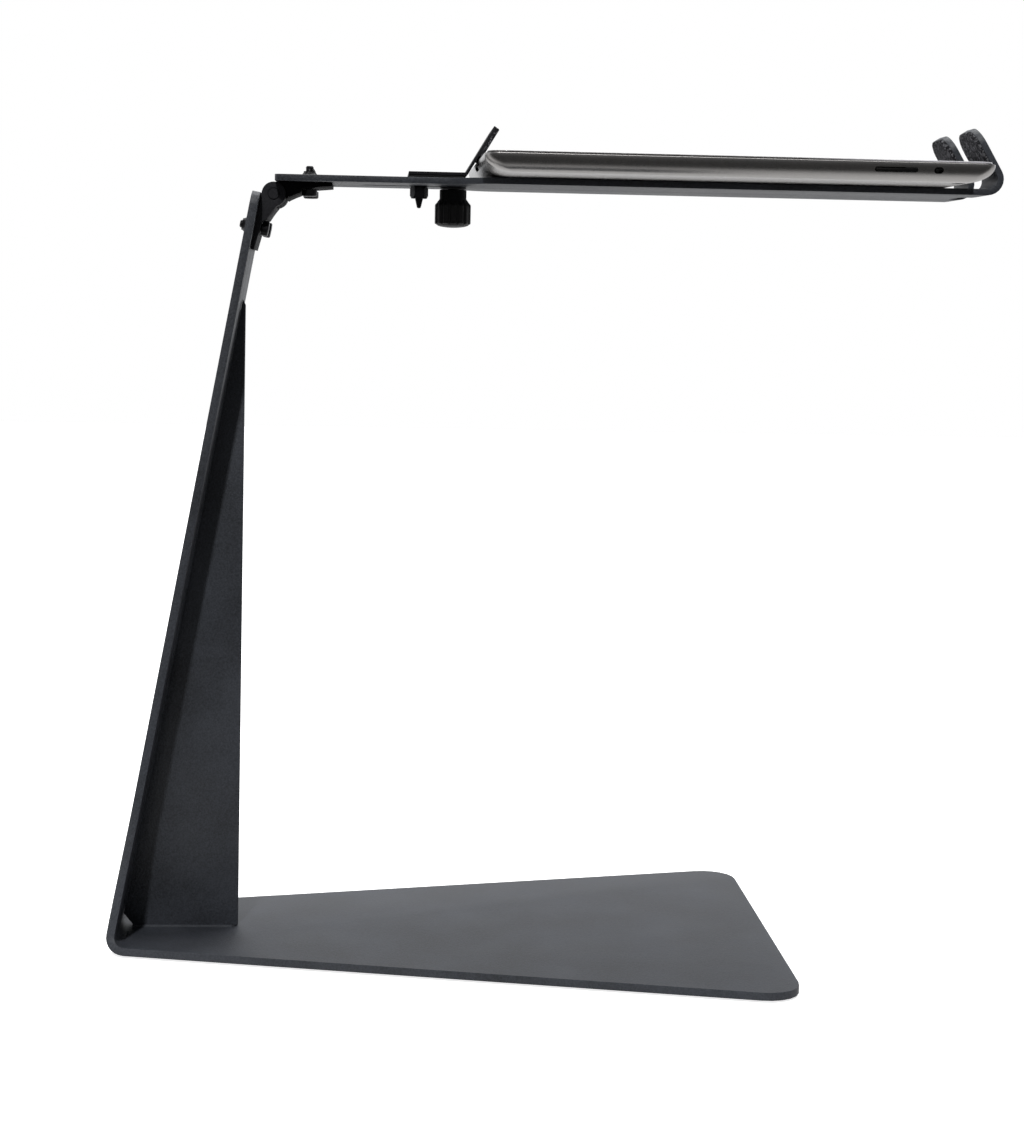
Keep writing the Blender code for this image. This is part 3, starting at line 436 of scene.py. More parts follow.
class Finish(Enum):
    """The finishes of this object's pieces."""

    POWDER = Coating("powder_coat_graphite", (0.036, 0.040, 0.049), 0.50, grains=1150, bump=0.8, depth=0.00016,
                     contrast=0.50, wear=0.30, wear_colour=(0.11, 0.115, 0.13), dust=0.05)
    CASTING = Coating("hinge_casting_black", (0.005, 0.005, 0.006), 0.65, grains=900, bump=0.2, wear=0.2,
                      wear_colour=(0.03, 0.03, 0.032), dust=0.03, specular=0.03)
    BARREL = Coating("hinge_barrel_grey", (0.026, 0.026, 0.029), 0.62, grains=900, bump=0.25, wear=0.2,
                     wear_colour=(0.05, 0.05, 0.055), dust=0.03, specular=0.05)
    SHEET = Coating("clip_sheet_black", (0.009, 0.009, 0.011), 0.45, grains=1500, bump=0.3, wear=0.5,
                    wear_colour=(0.07, 0.07, 0.075), specular=0.3)
    OXIDE = Coating("black_oxide", (0.016, 0.016, 0.018), 0.34, metallic=0.55, grains=2500, bump=0.15,
                    wear=0.7, wear_colour=(0.14, 0.14, 0.15), wear_radius=0.0003)
    STEEL = Coating("ground_steel", (0.42, 0.43, 0.45), 0.28, metallic=1.0, grains=3000, bump=0.08,
                    contrast=0.12)
    MOULDED = Coating("moulded_black", (0.007, 0.007, 0.007), 0.50, grains=1800, bump=0.2, wear=0.2,
                      wear_colour=(0.05, 0.05, 0.05), dust=0.05, specular=0.35)
    BRASS = Coating("turned_brass", (0.62, 0.44, 0.18), 0.3, metallic=1.0, grains=2500, bump=0.1, contrast=0.15)
    RUBBER = Coating("matt_rubber", (0.010, 0.010, 0.010), 0.80, grains=1200, bump=0.3, dust=0.06, specular=0.2)
    FOAM = Speckled("speckled_foam", (0.014, 0.014, 0.016), (0.17, 0.17, 0.18))
    BLASTED = Coating("blasted_aluminium", (0.37, 0.358, 0.348), 0.28, metallic=1.0, grains=6000, bump=0.10,
                      depth=0.00003, contrast=0.05, mottle=0.3)
    FRONT = FrontGlass("front_glass_pale", (0.72, 0.71, 0.74), (0.006, 0.006, 0.008), (0.11, 0.107, 0.104),
                       middle=0.08377, half_size=(0.0985, 0.0740), pale_edge=0.110)
    PALE_KEY = Coating("home_key_pale", (0.70, 0.69, 0.72), 0.10, grains=500, bump=0.0, contrast=0.03, coat=0.4)
    POUCH = Coating("cell_pouch", (0.09, 0.09, 0.10), 0.45, grains=600, bump=0.1)
    BOARD = Coating("solder_mask", (0.015, 0.10, 0.05), 0.4, grains=700, bump=0.15, contrast=0.5)
    KEY = Coating("key_black", (0.004, 0.004, 0.004), 0.55, grains=2500, bump=0.1, specular=0.12)
    GLOSS = Coating("dark_gloss", (0.006, 0.006, 0.008), 0.08, grains=500, bump=0.0, contrast=0.1, coat=0.5)


class Dresser:
    """Hands out each finish's material, made when it is first asked for."""

    def __init__(self) -> None:
        """Builds the shared effects."""
        self.effects = Effects()
        self.made: dict[str, bpy.types.Material] = {}

    def material(self, finish: Finish) -> bpy.types.Material:
        """The material of a finish."""
        if finish.name not in self.made:
            self.made[finish.name] = finish.value.build(self.effects)
        return self.made[finish.name]

    def dress(self, thing: bpy.types.Object, finish: Finish) -> bpy.types.Object:
        """Gives an object one finish all over."""
        thing.data.materials.clear()
        thing.data.materials.append(self.material(finish))
        return thing


# ------------------------------------------------------------------ meshes


def new_object(name: str, mesh: bpy.types.Mesh) -> bpy.types.Object:
    """Links a mesh into the scene under a piece name."""
    made = bpy.data.objects.new(name, mesh)
    bpy.context.scene.collection.objects.link(made)
    return made


def baked(thing: bpy.types.Object) -> bpy.types.Object:
    """Applies an object's modifiers, so that its mesh is the final one."""
    evaluated = thing.evaluated_get(bpy.context.evaluated_depsgraph_get())
    mesh = bpy.data.meshes.new_from_object(evaluated)
    thing.modifiers.clear()
    thing.data = mesh
    return thing


def smooth(thing: bpy.types.Object, angle: float = 35.0) -> bpy.types.Object:
    """Shades an object smooth, with edges over angle degrees left sharp."""
    thing.data.shade_smooth()
    thing.data.set_sharp_from_angle(angle=math.radians(angle))
    return thing


def heel(x: float, y: float, z: float) -> Vector:
    """A point given in millimetres from the heel of the stand, in the row frame."""
    return Vector((x - HEEL_BACK, y, z)) * MM


def finished(bm: bmesh.types.BMesh, name: str) -> bpy.types.Mesh:
    """Turns a bmesh's faces outwards and stores it as a mesh."""
    bmesh.ops.recalc_face_normals(bm, faces=bm.faces)
    mesh = bpy.data.meshes.new(name)
    bm.to_mesh(mesh)
    bm.free()
    return mesh


@contextmanager
def editing(mesh: bpy.types.Mesh) -> Iterator[bmesh.types.BMesh]:
    """Opens a mesh as a bmesh, and stores it again at the end."""
    bm = bmesh.new()
    bm.from_mesh(mesh)
    yield bm
    bm.to_mesh(mesh)
    bm.free()


def joined(bm: bmesh.types.BMesh, low: Sequence, high: Sequence) -> None:
    """Adds the band of faces between two loops of equally many vertices."""
    for i in range(len(low)):
        j = (i + 1) % len(low)
        bm.faces.new((low[i], low[j], high[j], high[i]))


def rounded(half: tuple[float, float], radius: float, steps: int) -> list[tuple[float, float]]:
    """The outline of a round-cornered rectangle.

    Args:
        half: half its length and half its width.
        radius: the radius of its corners.
        steps: how many edges round one corner.

    Returns:
        Its points, about its own middle.
    """
    points = []
    for sx, sy, turn in ((1, -1, -90), (1, 1, 0), (-1, 1, 90), (-1, -1, 180)):
        for step in range(steps + 1):
            a = math.radians(turn + 90 / steps * step)
            points.append((sx * (half[0] - radius) + radius * math.cos(a),
                           sy * (half[1] - radius) + radius * math.sin(a)))
    return points


def hexagon(angle: float) -> float:
    """The edge of a hexagon at an angle, as a share of its corner radius."""
    sixth = math.pi / 3
    return math.cos(sixth / 2) / math.cos(angle % sixth - sixth / 2)


@dataclass(frozen=True)
class Turned:
    """A body about its own Z axis, from rings of radius and height in millimetres.

    A ring may also have a shape, which gives the share of its radius that is kept at each angle. A closed
    profile has a bore.
    """

    rings: Sequence[Ring]
    segments: int = 36
    closed: bool = False

    def mesh(self, name: str, place: Matrix) -> bpy.types.Mesh:
        """Builds the mesh.

        Args:
            name: the mesh's name.
            place: from the body's own axis to the row frame, in metres.

        Returns:
            The closed mesh.
        """
        bm = bmesh.new()
        loops = []
        for radius, height, *shape in self.rings:
            turns = range(self.segments if radius > 0 else 1)
            angles = [2 * math.pi * i / self.segments for i in turns]
            reaches = [radius * (shape[0](angle) if shape else 1) for angle in angles]
            loops.append([bm.verts.new((reach * math.cos(angle), reach * math.sin(angle), height))
                          for reach, angle in zip(reaches, angles)])
        pairs = list(zip(loops, loops[1:]))
        if self.closed:
            pairs.append((loops[-1], loops[0]))
        for low, high in pairs:
            for i in range(self.segments):
                ends = (i, (i + 1) % self.segments)
                corners = [low[j % len(low)] for j in ends] + [high[j % len(high)] for j in reversed(ends)]
                bm.faces.new(list(dict.fromkeys(corners)))
        bmesh.ops.transform(bm, matrix=place @ Matrix.Scale(MM, 4), verts=bm.verts)
        return finished(bm, name)


@dataclass(frozen=True)
class Fastener:
    """Metric bolts, studs and nuts, with their threads, in millimetres."""

    radius: float = 2.0
    pitch: float = 0.7
    depth: float = 0.16
    steps: int = 6

    def thread(self, high: float, low: float) -> list[Ring]:
        """Rings of a helical thread from high down to low, faded out at both ends."""
        count = max(2, round((high - low) / self.pitch * self.steps))
        rings: list[Ring] = []
        for i in range(count + 1):
            z = high + (low - high) * i / count
            fade = min(1.0, (high - z) / self.pitch, (z - low) / self.pitch)
            rings.append((self.radius, z, self.flank(z, fade)))
        return rings

    def flank(self, z: float, fade: float) -> Shape:
        """The share of the radius that a thread leaves round one ring."""
        def share(angle: float) -> float:
            turn = (z / self.pitch - angle / (2 * math.pi)) % 1
            return 1 - fade * self.depth / self.radius * (1 - abs(2 * turn - 1))
        return share

    def screw(self, length: float, head: float, head_height: float) -> Turned:
        """A domed cap screw with a hexagon socket, hanging from z = 0 under its head."""
        socket = head * 0.46
        rings: list[Ring] = [(0, head_height - 2.0), (socket, head_height - 1.8, hexagon),
                             (socket, head_height - 0.1, hexagon), (socket + 0.35, head_height)]
        for step in range(1, 7):
            angle = math.radians(90 - 15 * step)
            rings.append((head - 0.9 + 0.9 * math.cos(angle), head_height - 0.9 + 0.9 * math.sin(angle)))
        rings += [(head, 0.15), (head - 0.15, 0), (self.radius, 0)]
        rings += self.thread(-0.4, 0.7 - length)
        return Turned(rings + [(self.radius - 0.5, -length), (0, -length)])

    def stud(self, length: float, taper: float, point: float) -> Turned:
        """A headless stud hanging from z = 0, drawn in to a rounded point over its last part."""
        rings: list[Ring] = [(0, 0), (self.radius - 0.3, 0), (self.radius, -0.3)]
        rings += self.thread(-0.6, taper - length)
        for step in range(1, 9):
            share = step / 8
            reach = self.radius + (point - self.radius) * share
            rings.append((reach, taper - length - taper * share * 0.9))
        return Turned(rings + [(point * 0.6, -length), (0, -length)])

    def nut(self, corner: float, height: float, loose: float = 0.12) -> Turned:
        """A hexagon nut standing on z = 0, chamfered at both ends."""
        bore = self.radius + loose
        outer: list[Ring] = []
        for share in (1.0, 0.94, 0.87, 0.78, 0.5, 0.22, 0.13, 0.06, 0.0):
            draw = max(0.0, abs(share - 0.5) - 0.28) / 0.22
            outer.append((corner, share * height, self.chamfer(1 - 0.15 * draw)))
        rings: list[Ring] = [(bore + 0.25, 0), (bore, 0.25), (bore, height - 0.25),
                             (bore + 0.25, height)]
        return Turned(rings + outer, 48, closed=True)

    def flange_nut(self, corner: float, height: float) -> Turned:
        """A low nut standing on z = 0 whose hexagon is drawn in to a cone above its flange."""
        bore = self.radius + 0.12
        outer: list[Ring] = [(bore + 0.9, height)]
        for share in (0.85, 0.7, 0.55, 0.4, 0.3):
            reach = bore + 0.9 + (corner - bore - 0.9) * ((1 - share) / 0.7) ** 1.3
            outer.append((reach, share * height, self.chamfer(0.93)))
        outer += [(corner, 0.22 * height), (corner, 0.05 * height), (corner - 0.1, 0)]
        return Turned([(bore, 0), (bore, height)] + outer, 48, closed=True)

    @staticmethod
    def chamfer(limit: float) -> Shape:
        """A hexagon whose corners are turned down to a limit."""
        return lambda angle: min(hexagon(angle), limit)


class Builder:
    """Makes pieces from the frame's nodes and hangs them on their bodies."""

    def __init__(self, frame: dict, dresser: Dresser) -> None:
        """Keeps the loaded frame and the finishes."""
        self.frame = frame
        self.dresser = dresser
        self.slots = {row["node"]: row["material_slot"] for row in frame["record"]["subparts"]}

    def outline_copy(self, node: str) -> bpy.types.Mesh:
        """A welded copy of a CAD node with its flat faces joined up."""
        bm = bmesh.new()
        bm.from_mesh(self.frame["nodes"][node].data)
        bmesh.ops.remove_doubles(bm, verts=bm.verts, dist=2e-6)
        bmesh.ops.dissolve_limit(bm, angle_limit=math.radians(0.6), verts=bm.verts, edges=bm.edges)
        mesh = bpy.data.meshes.new(f"{node}_fine")
        bm.to_mesh(mesh)
        bm.free()
        return mesh

    def eased(self, node: str, finish: Finish, edge: float = 0.4 * MM, segments: int = 2,
              angle: float = 32.0) -> bpy.types.Object:
        """A piece with a node's own shape and its edges eased.

        Args:
            node: the CAD node that the piece stands for.
            finish: its finish.
            edge: the width of the eased edges in metres.
            segments: how many faces round an edge.
            angle: edges sharper than this many degrees are eased.

        Returns:
            The piece, riding on the node's body.
        """
        piece = new_object(f"{node}_piece", self.outline_copy(node))
        bevel = piece.modifiers.new("edges", "BEVEL")
        bevel.width = edge
        bevel.segments = segments
        bevel.limit_method = "ANGLE"
        bevel.angle_limit = math.radians(angle)
        bevel.use_clamp_overlap = True
        bevel.miter_outer = "MITER_ARC"
        baked(piece)
        smooth(piece, 38)
        return self.stand_in(piece, finish, node)

    def turned(self, node: str, finish: Finish, body: Turned, place: Matrix, angle: float = 35) -> None:
        """Makes a turned piece in place of a node.

        Args:
            node: the CAD node that it stands for.
            finish: its finish.
            body: its rings.
            place: from its own axis to the row frame.
            angle: edges sharper than this many degrees stay sharp.
        """
        piece = new_object(f"{node}_piece", body.mesh(f"{node}_fine", place))
        self.stand_in(smooth(piece, angle), finish, node)

    def foam(self, node: str, towards: Vector, fill: float, cell: float = 0.32 * MM,
             swell: float = 0.30) -> None:
        """Makes a soft foam sheet, a little uneven, that lies against the metal behind a node.

        Args:
            node: the CAD node of the foam.
            towards: the direction of the metal that it is stuck to.
            fill: how full the foam would be, from 0 to 1; not used.
            cell: the size of its mesh in metres.
            swell: how far its surface is moved outwards, in millimetres.
        """
        piece = new_object(f"{node}_piece", self.outline_copy(node))
        remesh = piece.modifiers.new("cells", "REMESH")
        remesh.mode = "VOXEL"
        remesh.voxel_size = cell
        soften = piece.modifiers.new("soften", "SMOOTH")
        soften.iterations = 8
        baked(piece)
        with editing(piece.data) as bm:
            bm.normal_update()
            offsets = []
            for vert in bm.verts:
                broad = noise.noise(vert.co * 130)
                fine = noise.noise(vert.co * 900)
                offsets.append(vert.normal * (swell + 0.04 * broad + 0.03 * fine) * MM)
            for vert, offset in zip(bm.verts, offsets):
                vert.co += offset + towards.normalized() * GAP * MM
        piece.data.shade_smooth()
        self.stand_in(piece, Finish.FOAM, node)

    def stand_in(self, piece: bpy.types.Object, finish: Finish, *nodes: str) -> bpy.types.Object:
        """Dresses a finished piece and puts it in place of CAD nodes."""
        self.dresser.dress(piece, finish)
        return self.hang(piece, *nodes)

    def hang(self, piece: bpy.types.Object, *nodes: str) -> bpy.types.Object:
        """Lets a dressed piece ride on the body of the CAD nodes that it replaces."""
        first = self.frame["nodes"][nodes[0]]
        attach(piece, first["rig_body"])
        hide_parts(*nodes)
        log.info("piece %s: %d faces", piece.name, len(piece.data.polygons))
        return piece

    def keep(self, node: str, finish: Finish) -> None:
        """Keeps a CAD node as it is, with a better material."""
        thing = self.frame["nodes"][node]
        thing.data.materials.clear()
        thing.data.materials.append(self.dresser.material(finish))


# ------------------------------------------------------------------ sub-assemblies


def standing(origin: Vector, lean: float = 0.0) -> Matrix:
    """A place whose Z axis is turned by an angle about +Y from upright."""
    return Matrix.Translation(origin) @ Matrix.Rotation(lean, 4, "Y")


@dataclass
class Stand:
    """The bent plate with its rib and feet. Lengths are in millimetres from the heel."""

    build: Builder
    edge: float = 0.7
    foot_radius: float = 9.0
    foot_height: float = 1.5
    feet: tuple[tuple[str, float, float], ...] = (
        ("foot_near_wide", 328, -96), ("foot_far_wide", 328, 96),
        ("foot_near_heel", 26, -30), ("foot_far_heel", 26, 30))
    bead: float = 1.1

    def make(self) -> None:
        """Builds every piece of the stand."""
        self.build.eased("stand_plate", Finish.POWDER, self.edge * MM, 3)
        self.rib()
        for node, x, y in self.feet:
            self.build.turned(node, Finish.RUBBER, self.foot(), standing(heel(x, y, 0)))

    def foot(self) -> Turned:
        """A rubber foot: a disc with a rounded rim and a shallow ring groove in its sole."""
        radius, high = self.foot_radius, self.foot_height
        rings: list[Ring] = [(0, high), (radius, high), (radius, 0.5),
                             (radius - 0.15, 0.15), (radius - 0.5, 0),
                             (radius - 2.4, 0), (radius - 2.7, 0.35), (radius - 3.6, 0.35),
                             (radius - 3.9, 0), (0, 0)]
        return Turned(rings, 48)

    def rib(self) -> None:
        """The gusset rib, with a smooth weld bead along both plates that it joins."""
        piece = new_object("gusset_rib_piece", self.build.outline_copy("gusset_rib"))
        bevel = piece.modifiers.new("edges", "BEVEL")
        bevel.width = 0.4 * MM
        bevel.segments = 2
        bevel.limit_method = "ANGLE"
        baked(piece)
        lean = UPRIGHT_LEAN
        low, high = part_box("gusset_rib")
        plate = STAND_PLATE / math.cos(lean)
        foot = high[0] - 5.5 * MM
        start = heel(BASE_TOP * math.tan(lean) + plate + 6, 0, BASE_TOP)
        runs = [(Vector((start.x, 0, low[2] - GAP * MM)), Vector((foot, 0, low[2] - GAP * MM)))]
        up = Vector((math.sin(lean), 0, math.cos(lean)))
        face = heel(plate, 0, 1.5)
        runs.append((face + up * 14 * MM, face + up * 335 * MM / math.cos(lean) * 0.985))
        with editing(piece.data) as bm:
            for first, last in runs:
                self.weld(bm, first, last)
        self.build.stand_in(smooth(piece, 40), Finish.POWDER, "gusset_rib")

    def weld(self, bm: bmesh.types.BMesh, first: Vector, last: Vector) -> None:
        """Adds a low rounded bead between two points to a mesh."""
        along = (last - first).normalized()
        rise = along.cross(Vector((0, 1, 0)))
        loops = []
        for at in (first, last):
            loop = []
            for step in range(12):
                angle = 2 * math.pi * step / 12
                across = Vector((0, 1, 0)) * math.cos(angle) * (1.5 + self.bead) * MM
                loop.append(bm.verts.new(at + across + rise * math.sin(angle) * self.bead * 0.7 * MM))
            loops.append(loop)
        joined(bm, *loops)
        bm.faces.new(loops[0])
        bm.faces.new(list(reversed(loops[1])))


@dataclass
class Hinge:
    """The friction hinge with its fasteners. Lengths are in millimetres from the heel."""

    build: Builder
    pin: tuple[float, float] = (84.1, 390.0)
    pin_radius: float = 2.98
    half_width: float = 20.0
    lean: float = UPRIGHT_LEAN
    seat: float = 2.8
    face: float = 6.1
    reach: float = 17.8
    spread: float = 13.0
    head: tuple[float, float] = (3.9, 3.5)
    nut: tuple[float, float] = (4.2, 2.4)
    tips: tuple[float, float] = (2.3, 0.9)
    plates: tuple[float, float] = (3.1, STAND_PLATE)

    def make(self) -> None:
        """Builds the leaves, the pin and the fasteners."""
        self.build.eased("hinge_lower_leaf", Finish.BARREL, 0.35 * MM)
        self.build.eased("hinge_upper_leaf", Finish.CASTING, 0.35 * MM)
        place = standing(heel(self.pin[0], 0, self.pin[1])) @ Matrix.Rotation(math.pi / 2, 4, "X")
        self.build.turned("hinge_pin", Finish.BARREL, self.pin_body(), place)
        for node in ("hinge_washer_near", "hinge_washer_far"):
            self.build.keep(node, Finish.STEEL)
        for level, word in enumerate(("upper", "lower")):
            for side, y in (("near", -self.spread), ("far", self.spread)):
                self.bolt(f"{word}_bolt_{side}", f"{word}_nut_{side}", level, y)

    def pin_body(self) -> Turned:
        """The pin, with turned-down ends."""
        end, radius = self.half_width, self.pin_radius
        return Turned([(0, end), (radius - 0.5, end), (radius, end - 0.5),
                       (radius, 0.5 - end), (radius - 0.5, -end), (0, -end)])

    def bolt(self, bolt: str, nut: str, level: int, y: float) -> None:
        """One bolt through a leaf and its plate, with its nut.

        Args:
            bolt: the bolt's node.
            nut: the nut's node.
            level: 0 for the arm's leaf, 1 for the upright's.
            y: the bolt's place across the hinge.
        """
        lean = level * (self.lean - math.pi / 2)
        plate = self.plates[level]
        outward = Matrix.Rotation(lean, 3, "Y")
        along = Vector((1, 0, 0)) if lean == 0 else Vector((-math.sin(self.lean), 0, -math.cos(self.lean)))
        middle = heel(self.pin[0], y, self.pin[1]) + along * self.reach * MM
        up = outward @ Vector((0, 0, 1))
        nut_seat = self.face + plate + 2 * GAP
        length = nut_seat - self.seat + self.nut[1] + self.tips[level]
        flip = standing(middle + up * self.seat * MM, lean) @ Matrix.Rotation(math.pi, 4, "X")
        self.build.turned(bolt, Finish.OXIDE, Fastener().screw(length, *self.head), flip)
        self.build.turned(nut, Finish.OXIDE, Fastener().flange_nut(*self.nut),
                          standing(middle + up * (nut_seat - GAP) * MM, lean))


@dataclass
class Arm:
    """The arm and tray plate and the foam in its fingers."""

    build: Builder
    lean: float = HOOK_LEAN

    def make(self) -> None:
        """Builds the plate and both foam sheets."""
        self.build.eased("arm_plate", Finish.POWDER, 0.5 * MM, 3)
        towards = Vector((math.cos(self.lean), 0, math.sin(self.lean)))
        for node in ("finger_foam_near", "finger_foam_far"):
            self.build.foam(node, towards, 0.9)


@dataclass
class Clip:
    """The sliding clip, its pads, and the knob that clamps it. Lengths are in millimetres."""

    build: Builder
    lean: float = HOOK_LEAN
    guide: float = 157.6
    stud: float = 175.1
    top: float = 402.5
    under: float = ARM_UNDER
    guide_bottom: float = 385.2
    guide_nut: tuple[float, float] = (4.7, 6.3)
    knob_top: float = 390.2
    knob_bottom: float = 377.3
    grip: float = 387.4
    knob_radius: float = 9.3
    neck: float = 6.9
    dome: float = 1.7
    flutes: int = 14

    def make(self) -> None:
        """Builds the bracket, the pads, the fasteners and the knob."""
        self.build.eased("clip_bracket", Finish.SHEET, 0.45 * MM, 3)
        self.build.eased("clip_sole", Finish.RUBBER, 0.25 * MM)
        self.build.foam("clip_pad", Vector((-math.cos(self.lean), 0, math.sin(self.lean))), 1.0)
        tools = Fastener()
        self.build.turned("guide_bolt", Finish.OXIDE, tools.stud(self.top - self.guide_bottom, 4.5, 1.05),
                          standing(heel(self.guide, 0, self.top)))
        down = standing(heel(self.guide, 0, self.under - 0.05)) @ Matrix.Rotation(math.pi, 4, "X")
        self.build.turned("guide_nut", Finish.OXIDE, tools.nut(*self.guide_nut), down)
        self.build.turned("clamp_stud", Finish.OXIDE, tools.stud(self.top - self.knob_bottom - 2.5, 1.0, 1.4),
                          standing(heel(self.stud, 0, self.top)))
        washer = Turned([(self.neck, 0), (self.neck, -0.8), (self.neck - 0.2, -1.0),
                         (2.3, -1.0), (2.3, 0)], 48, closed=True)
        self.build.turned("knob_washer", Finish.OXIDE, washer, standing(heel(self.stud, 0, self.under - GAP)))
        self.build.turned("clamp_knob", Finish.MOULDED, self.knob(), standing(heel(self.stud, 0, 0)), 50)
        self.build.keep("knob_insert", Finish.BRASS)

    def fluted(self, depth: float) -> Shape:
        """Rounded ribs between shallow flutes of a given depth."""
        def share(angle: float) -> float:
            dip = max(0.0, math.cos(self.flutes * angle)) ** 1.5
            return 1 - depth * dip / self.knob_radius
        return share

    def knob(self) -> Turned:
        """The thumb knob: a blind bore, a neck, a fluted grip and a domed end."""
        neck_top = self.under - 1.0 - 2 * GAP
        radius, grip, low = self.knob_radius, self.grip, self.knob_bottom
        rings: list[Ring] = [(0, low + 1.5), (4.3, low + 1.5), (4.3, neck_top - 0.2),
                             (4.5, neck_top), (self.neck - 0.3, neck_top),
                             (self.neck, neck_top - 0.3), (self.neck, self.knob_top),
                             (radius - 0.8, grip + 0.6, self.fluted(0.1)),
                             (radius - 0.2, grip, self.fluted(0.4)), (radius, grip - 0.6, self.fluted(0.7))]
        rings += [(radius, grip - 0.6 - (grip - low - 1.3) * i / 8, self.fluted(0.7)) for i in range(1, 9)]
        rings += [(radius - 0.1, low + 0.35, self.fluted(0.6)), (radius - 0.35, low + 0.1, self.fluted(0.4)),
                  (radius - 0.8, low, self.fluted(0.1))]
        for angle in (80, 65, 50, 35, 20, 8):
            a = math.radians(angle)
            rings.append(((radius - 0.9) * math.sin(a), low - self.dome * math.cos(a)))
        return Turned(rings + [(0, low - self.dome)], self.flutes * 12)


@dataclass
class Tablet:
    """The tablet: shell, front, keys and what lies inside. Lengths are in millimetres from the heel."""

    build: Builder
    start: float = 186.6
    bottom: float = 399.8
    length: float = 246.9
    width: float = 189.0
    corner: float = 8.0
    least_corner: float = 3.0
    inset: float = 14.0
    side_share: float = 0.62
    rim: float = 0.4
    height: float = 8.8
    wall: float = 1.1
    key_rise: float = 5.2
    key_depth: float = 0.8
    # How deep and how big the dark sheet behind the mute switch's slot is; the sheet is painted shade inside
    # the slot.
    shade_sheet_depth: float = 3.0
    shade_sheet_size: tuple[float, float, float] = (7, 0.4, 4.6)
    grille_place: tuple[float, float] = (216.8, -27.0)
    grille_size: tuple[float, float] = (9.6, 21.6)
    grille_pitch: float = 1.2
    grille_hole: float = 0.36

    def make(self) -> None:
        """Builds the shell, the glass, the keys and the inner parts."""
        self.shell()
        self.grille()
        self.build.eased("tablet_front_glass", Finish.FRONT, 0.25 * MM)
        self.build.eased("home_button", Finish.PALE_KEY, 0.25 * MM)
        self.build.eased("power_button", Finish.KEY, 0.3 * MM)
        self.build.eased("volume_rocker", Finish.KEY, 0.3 * MM).data.transform(self.sunk())
        self.switch()
        inner = {"display_panel": Finish.GLOSS, "battery_cell_near": Finish.POUCH,
                 "battery_cell_far": Finish.POUCH, "logic_board": Finish.BOARD, "speaker": Finish.KEY,
                 "dock_connector": Finish.STEEL, "front_camera": Finish.KEY,
                 "headphone_jack": Finish.STEEL, "rear_camera": Finish.KEY,
                 "rear_camera_window": Finish.GLOSS}
        for node, finish in inner.items():
            self.build.keep(node, finish)

    def sunk(self) -> Matrix:
        """The move that sets a side key in behind the slope of the shell."""
        return Matrix.Translation((0, self.key_depth * MM, 0))

    def switch(self) -> None:
        """The mute switch with a dark sheet behind its slot, which is painted shade inside the slot."""
        piece = self.build.eased("mute_switch", Finish.KEY, 0.3 * MM)
        low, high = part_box("mute_switch")
        middle = (Vector(low) + Vector(high)) / 2 + Vector((0.6, self.shade_sheet_depth, 0)) * MM
        size = Matrix.Diagonal((*(Vector(self.shade_sheet_size) * MM), 1))
        with editing(piece.data) as bm:
            bmesh.ops.transform(bm, matrix=self.sunk(), verts=bm.verts)
            # A thin black sheet behind the slot: painted shade in place of the dark inside of the slot.
            shade_sheet = bmesh.ops.create_cube(bm, size=1, matrix=Matrix.Translation(middle) @ size)
            edges = {edge for vert in shade_sheet["verts"] for edge in vert.link_edges}
            bmesh.ops.bevel(bm, geom=list(edges), offset=0.1 * MM, segments=2, affect="EDGES")

    def outline(self, inset: float) -> list[tuple[float, float]]:
        """The shell's outline, drawn in by an inset (by less at the long sides), about its own middle."""
        half = (self.length / 2 - inset, self.width / 2 - inset * self.side_share)
        return rounded(half, max(self.corner - inset * 0.4, self.least_corner), 12)

    def shell(self) -> None:
        """The bowed aluminium back with its openings for keys, jack, dock and camera."""
        levels = [(self.inset, 0.0)]
        for step in range(1, 15):
            a = math.radians(6 * step)
            levels.append((self.inset * (1 - math.sin(a)), (self.height - self.rim) * (1 - math.cos(a))))
        levels += [(0, self.height - self.rim), (0, self.height - 0.3), (0.1, self.height - 0.08),
                   (0.3, self.height)]
        bm = bmesh.new()
        middle = heel(self.start + self.length / 2, 0, self.bottom)
        loops = []
        for inset, z in levels:
            loops.append([bm.verts.new(middle + Vector((x, y, z)) * MM) for x, y in self.outline(inset)])
        bm.faces.new(list(reversed(loops[0])))
        for low, high in zip(loops, loops[1:]):
            joined(bm, low, high)
        mesh = bpy.data.meshes.new("tablet_shell_fine")
        bm.to_mesh(mesh)
        bm.free()
        shell = new_object("tablet_back_shell_piece", mesh)
        wall = shell.modifiers.new("wall", "SOLIDIFY")
        wall.thickness = self.wall * MM
        wall.offset = -1
        wall.material_offset = 1
        for finish in (Finish.BLASTED, Finish.KEY):
            shell.data.materials.append(self.build.dresser.material(finish))
        tools = [self.cut(shell, *spec) for spec in self.openings()]
        baked(shell)
        for tool in tools:
            bpy.data.objects.remove(tool)
        self.build.hang(smooth(shell, 30), "tablet_back_shell")

    def openings(self) -> list[tuple[Vector, tuple[float, float, float], float, str]]:
        """The middle, size, corner radius and axis of every opening in the shell."""
        near = -self.width / 2
        end = self.start + self.length
        key = self.bottom + self.key_rise
        return [(heel(383.7, near, key), (21, 2.4, 8), 1.2, "Y"),
                (heel(404.3, near, key), (4.6, 3.0, 8), 1.5, "Y"),
                (heel(end, -70, key), (2.4, 11, 8), 0.4, "X"),
                (heel(end, 70, key - 0.6), (3.8, 3.8, 8), 1.9, "X"),
                (heel(self.start, 0, key + 0.9), (2.2, 25, 8), 1.0, "X"),
                (heel(end - 15.5, near + 15.5, self.bottom), (6.8, 6.8, 6), 3.4, "Z"),
                (heel(*self.grille_place, self.bottom), (*self.grille_size, 6), 0.3, "Z")]

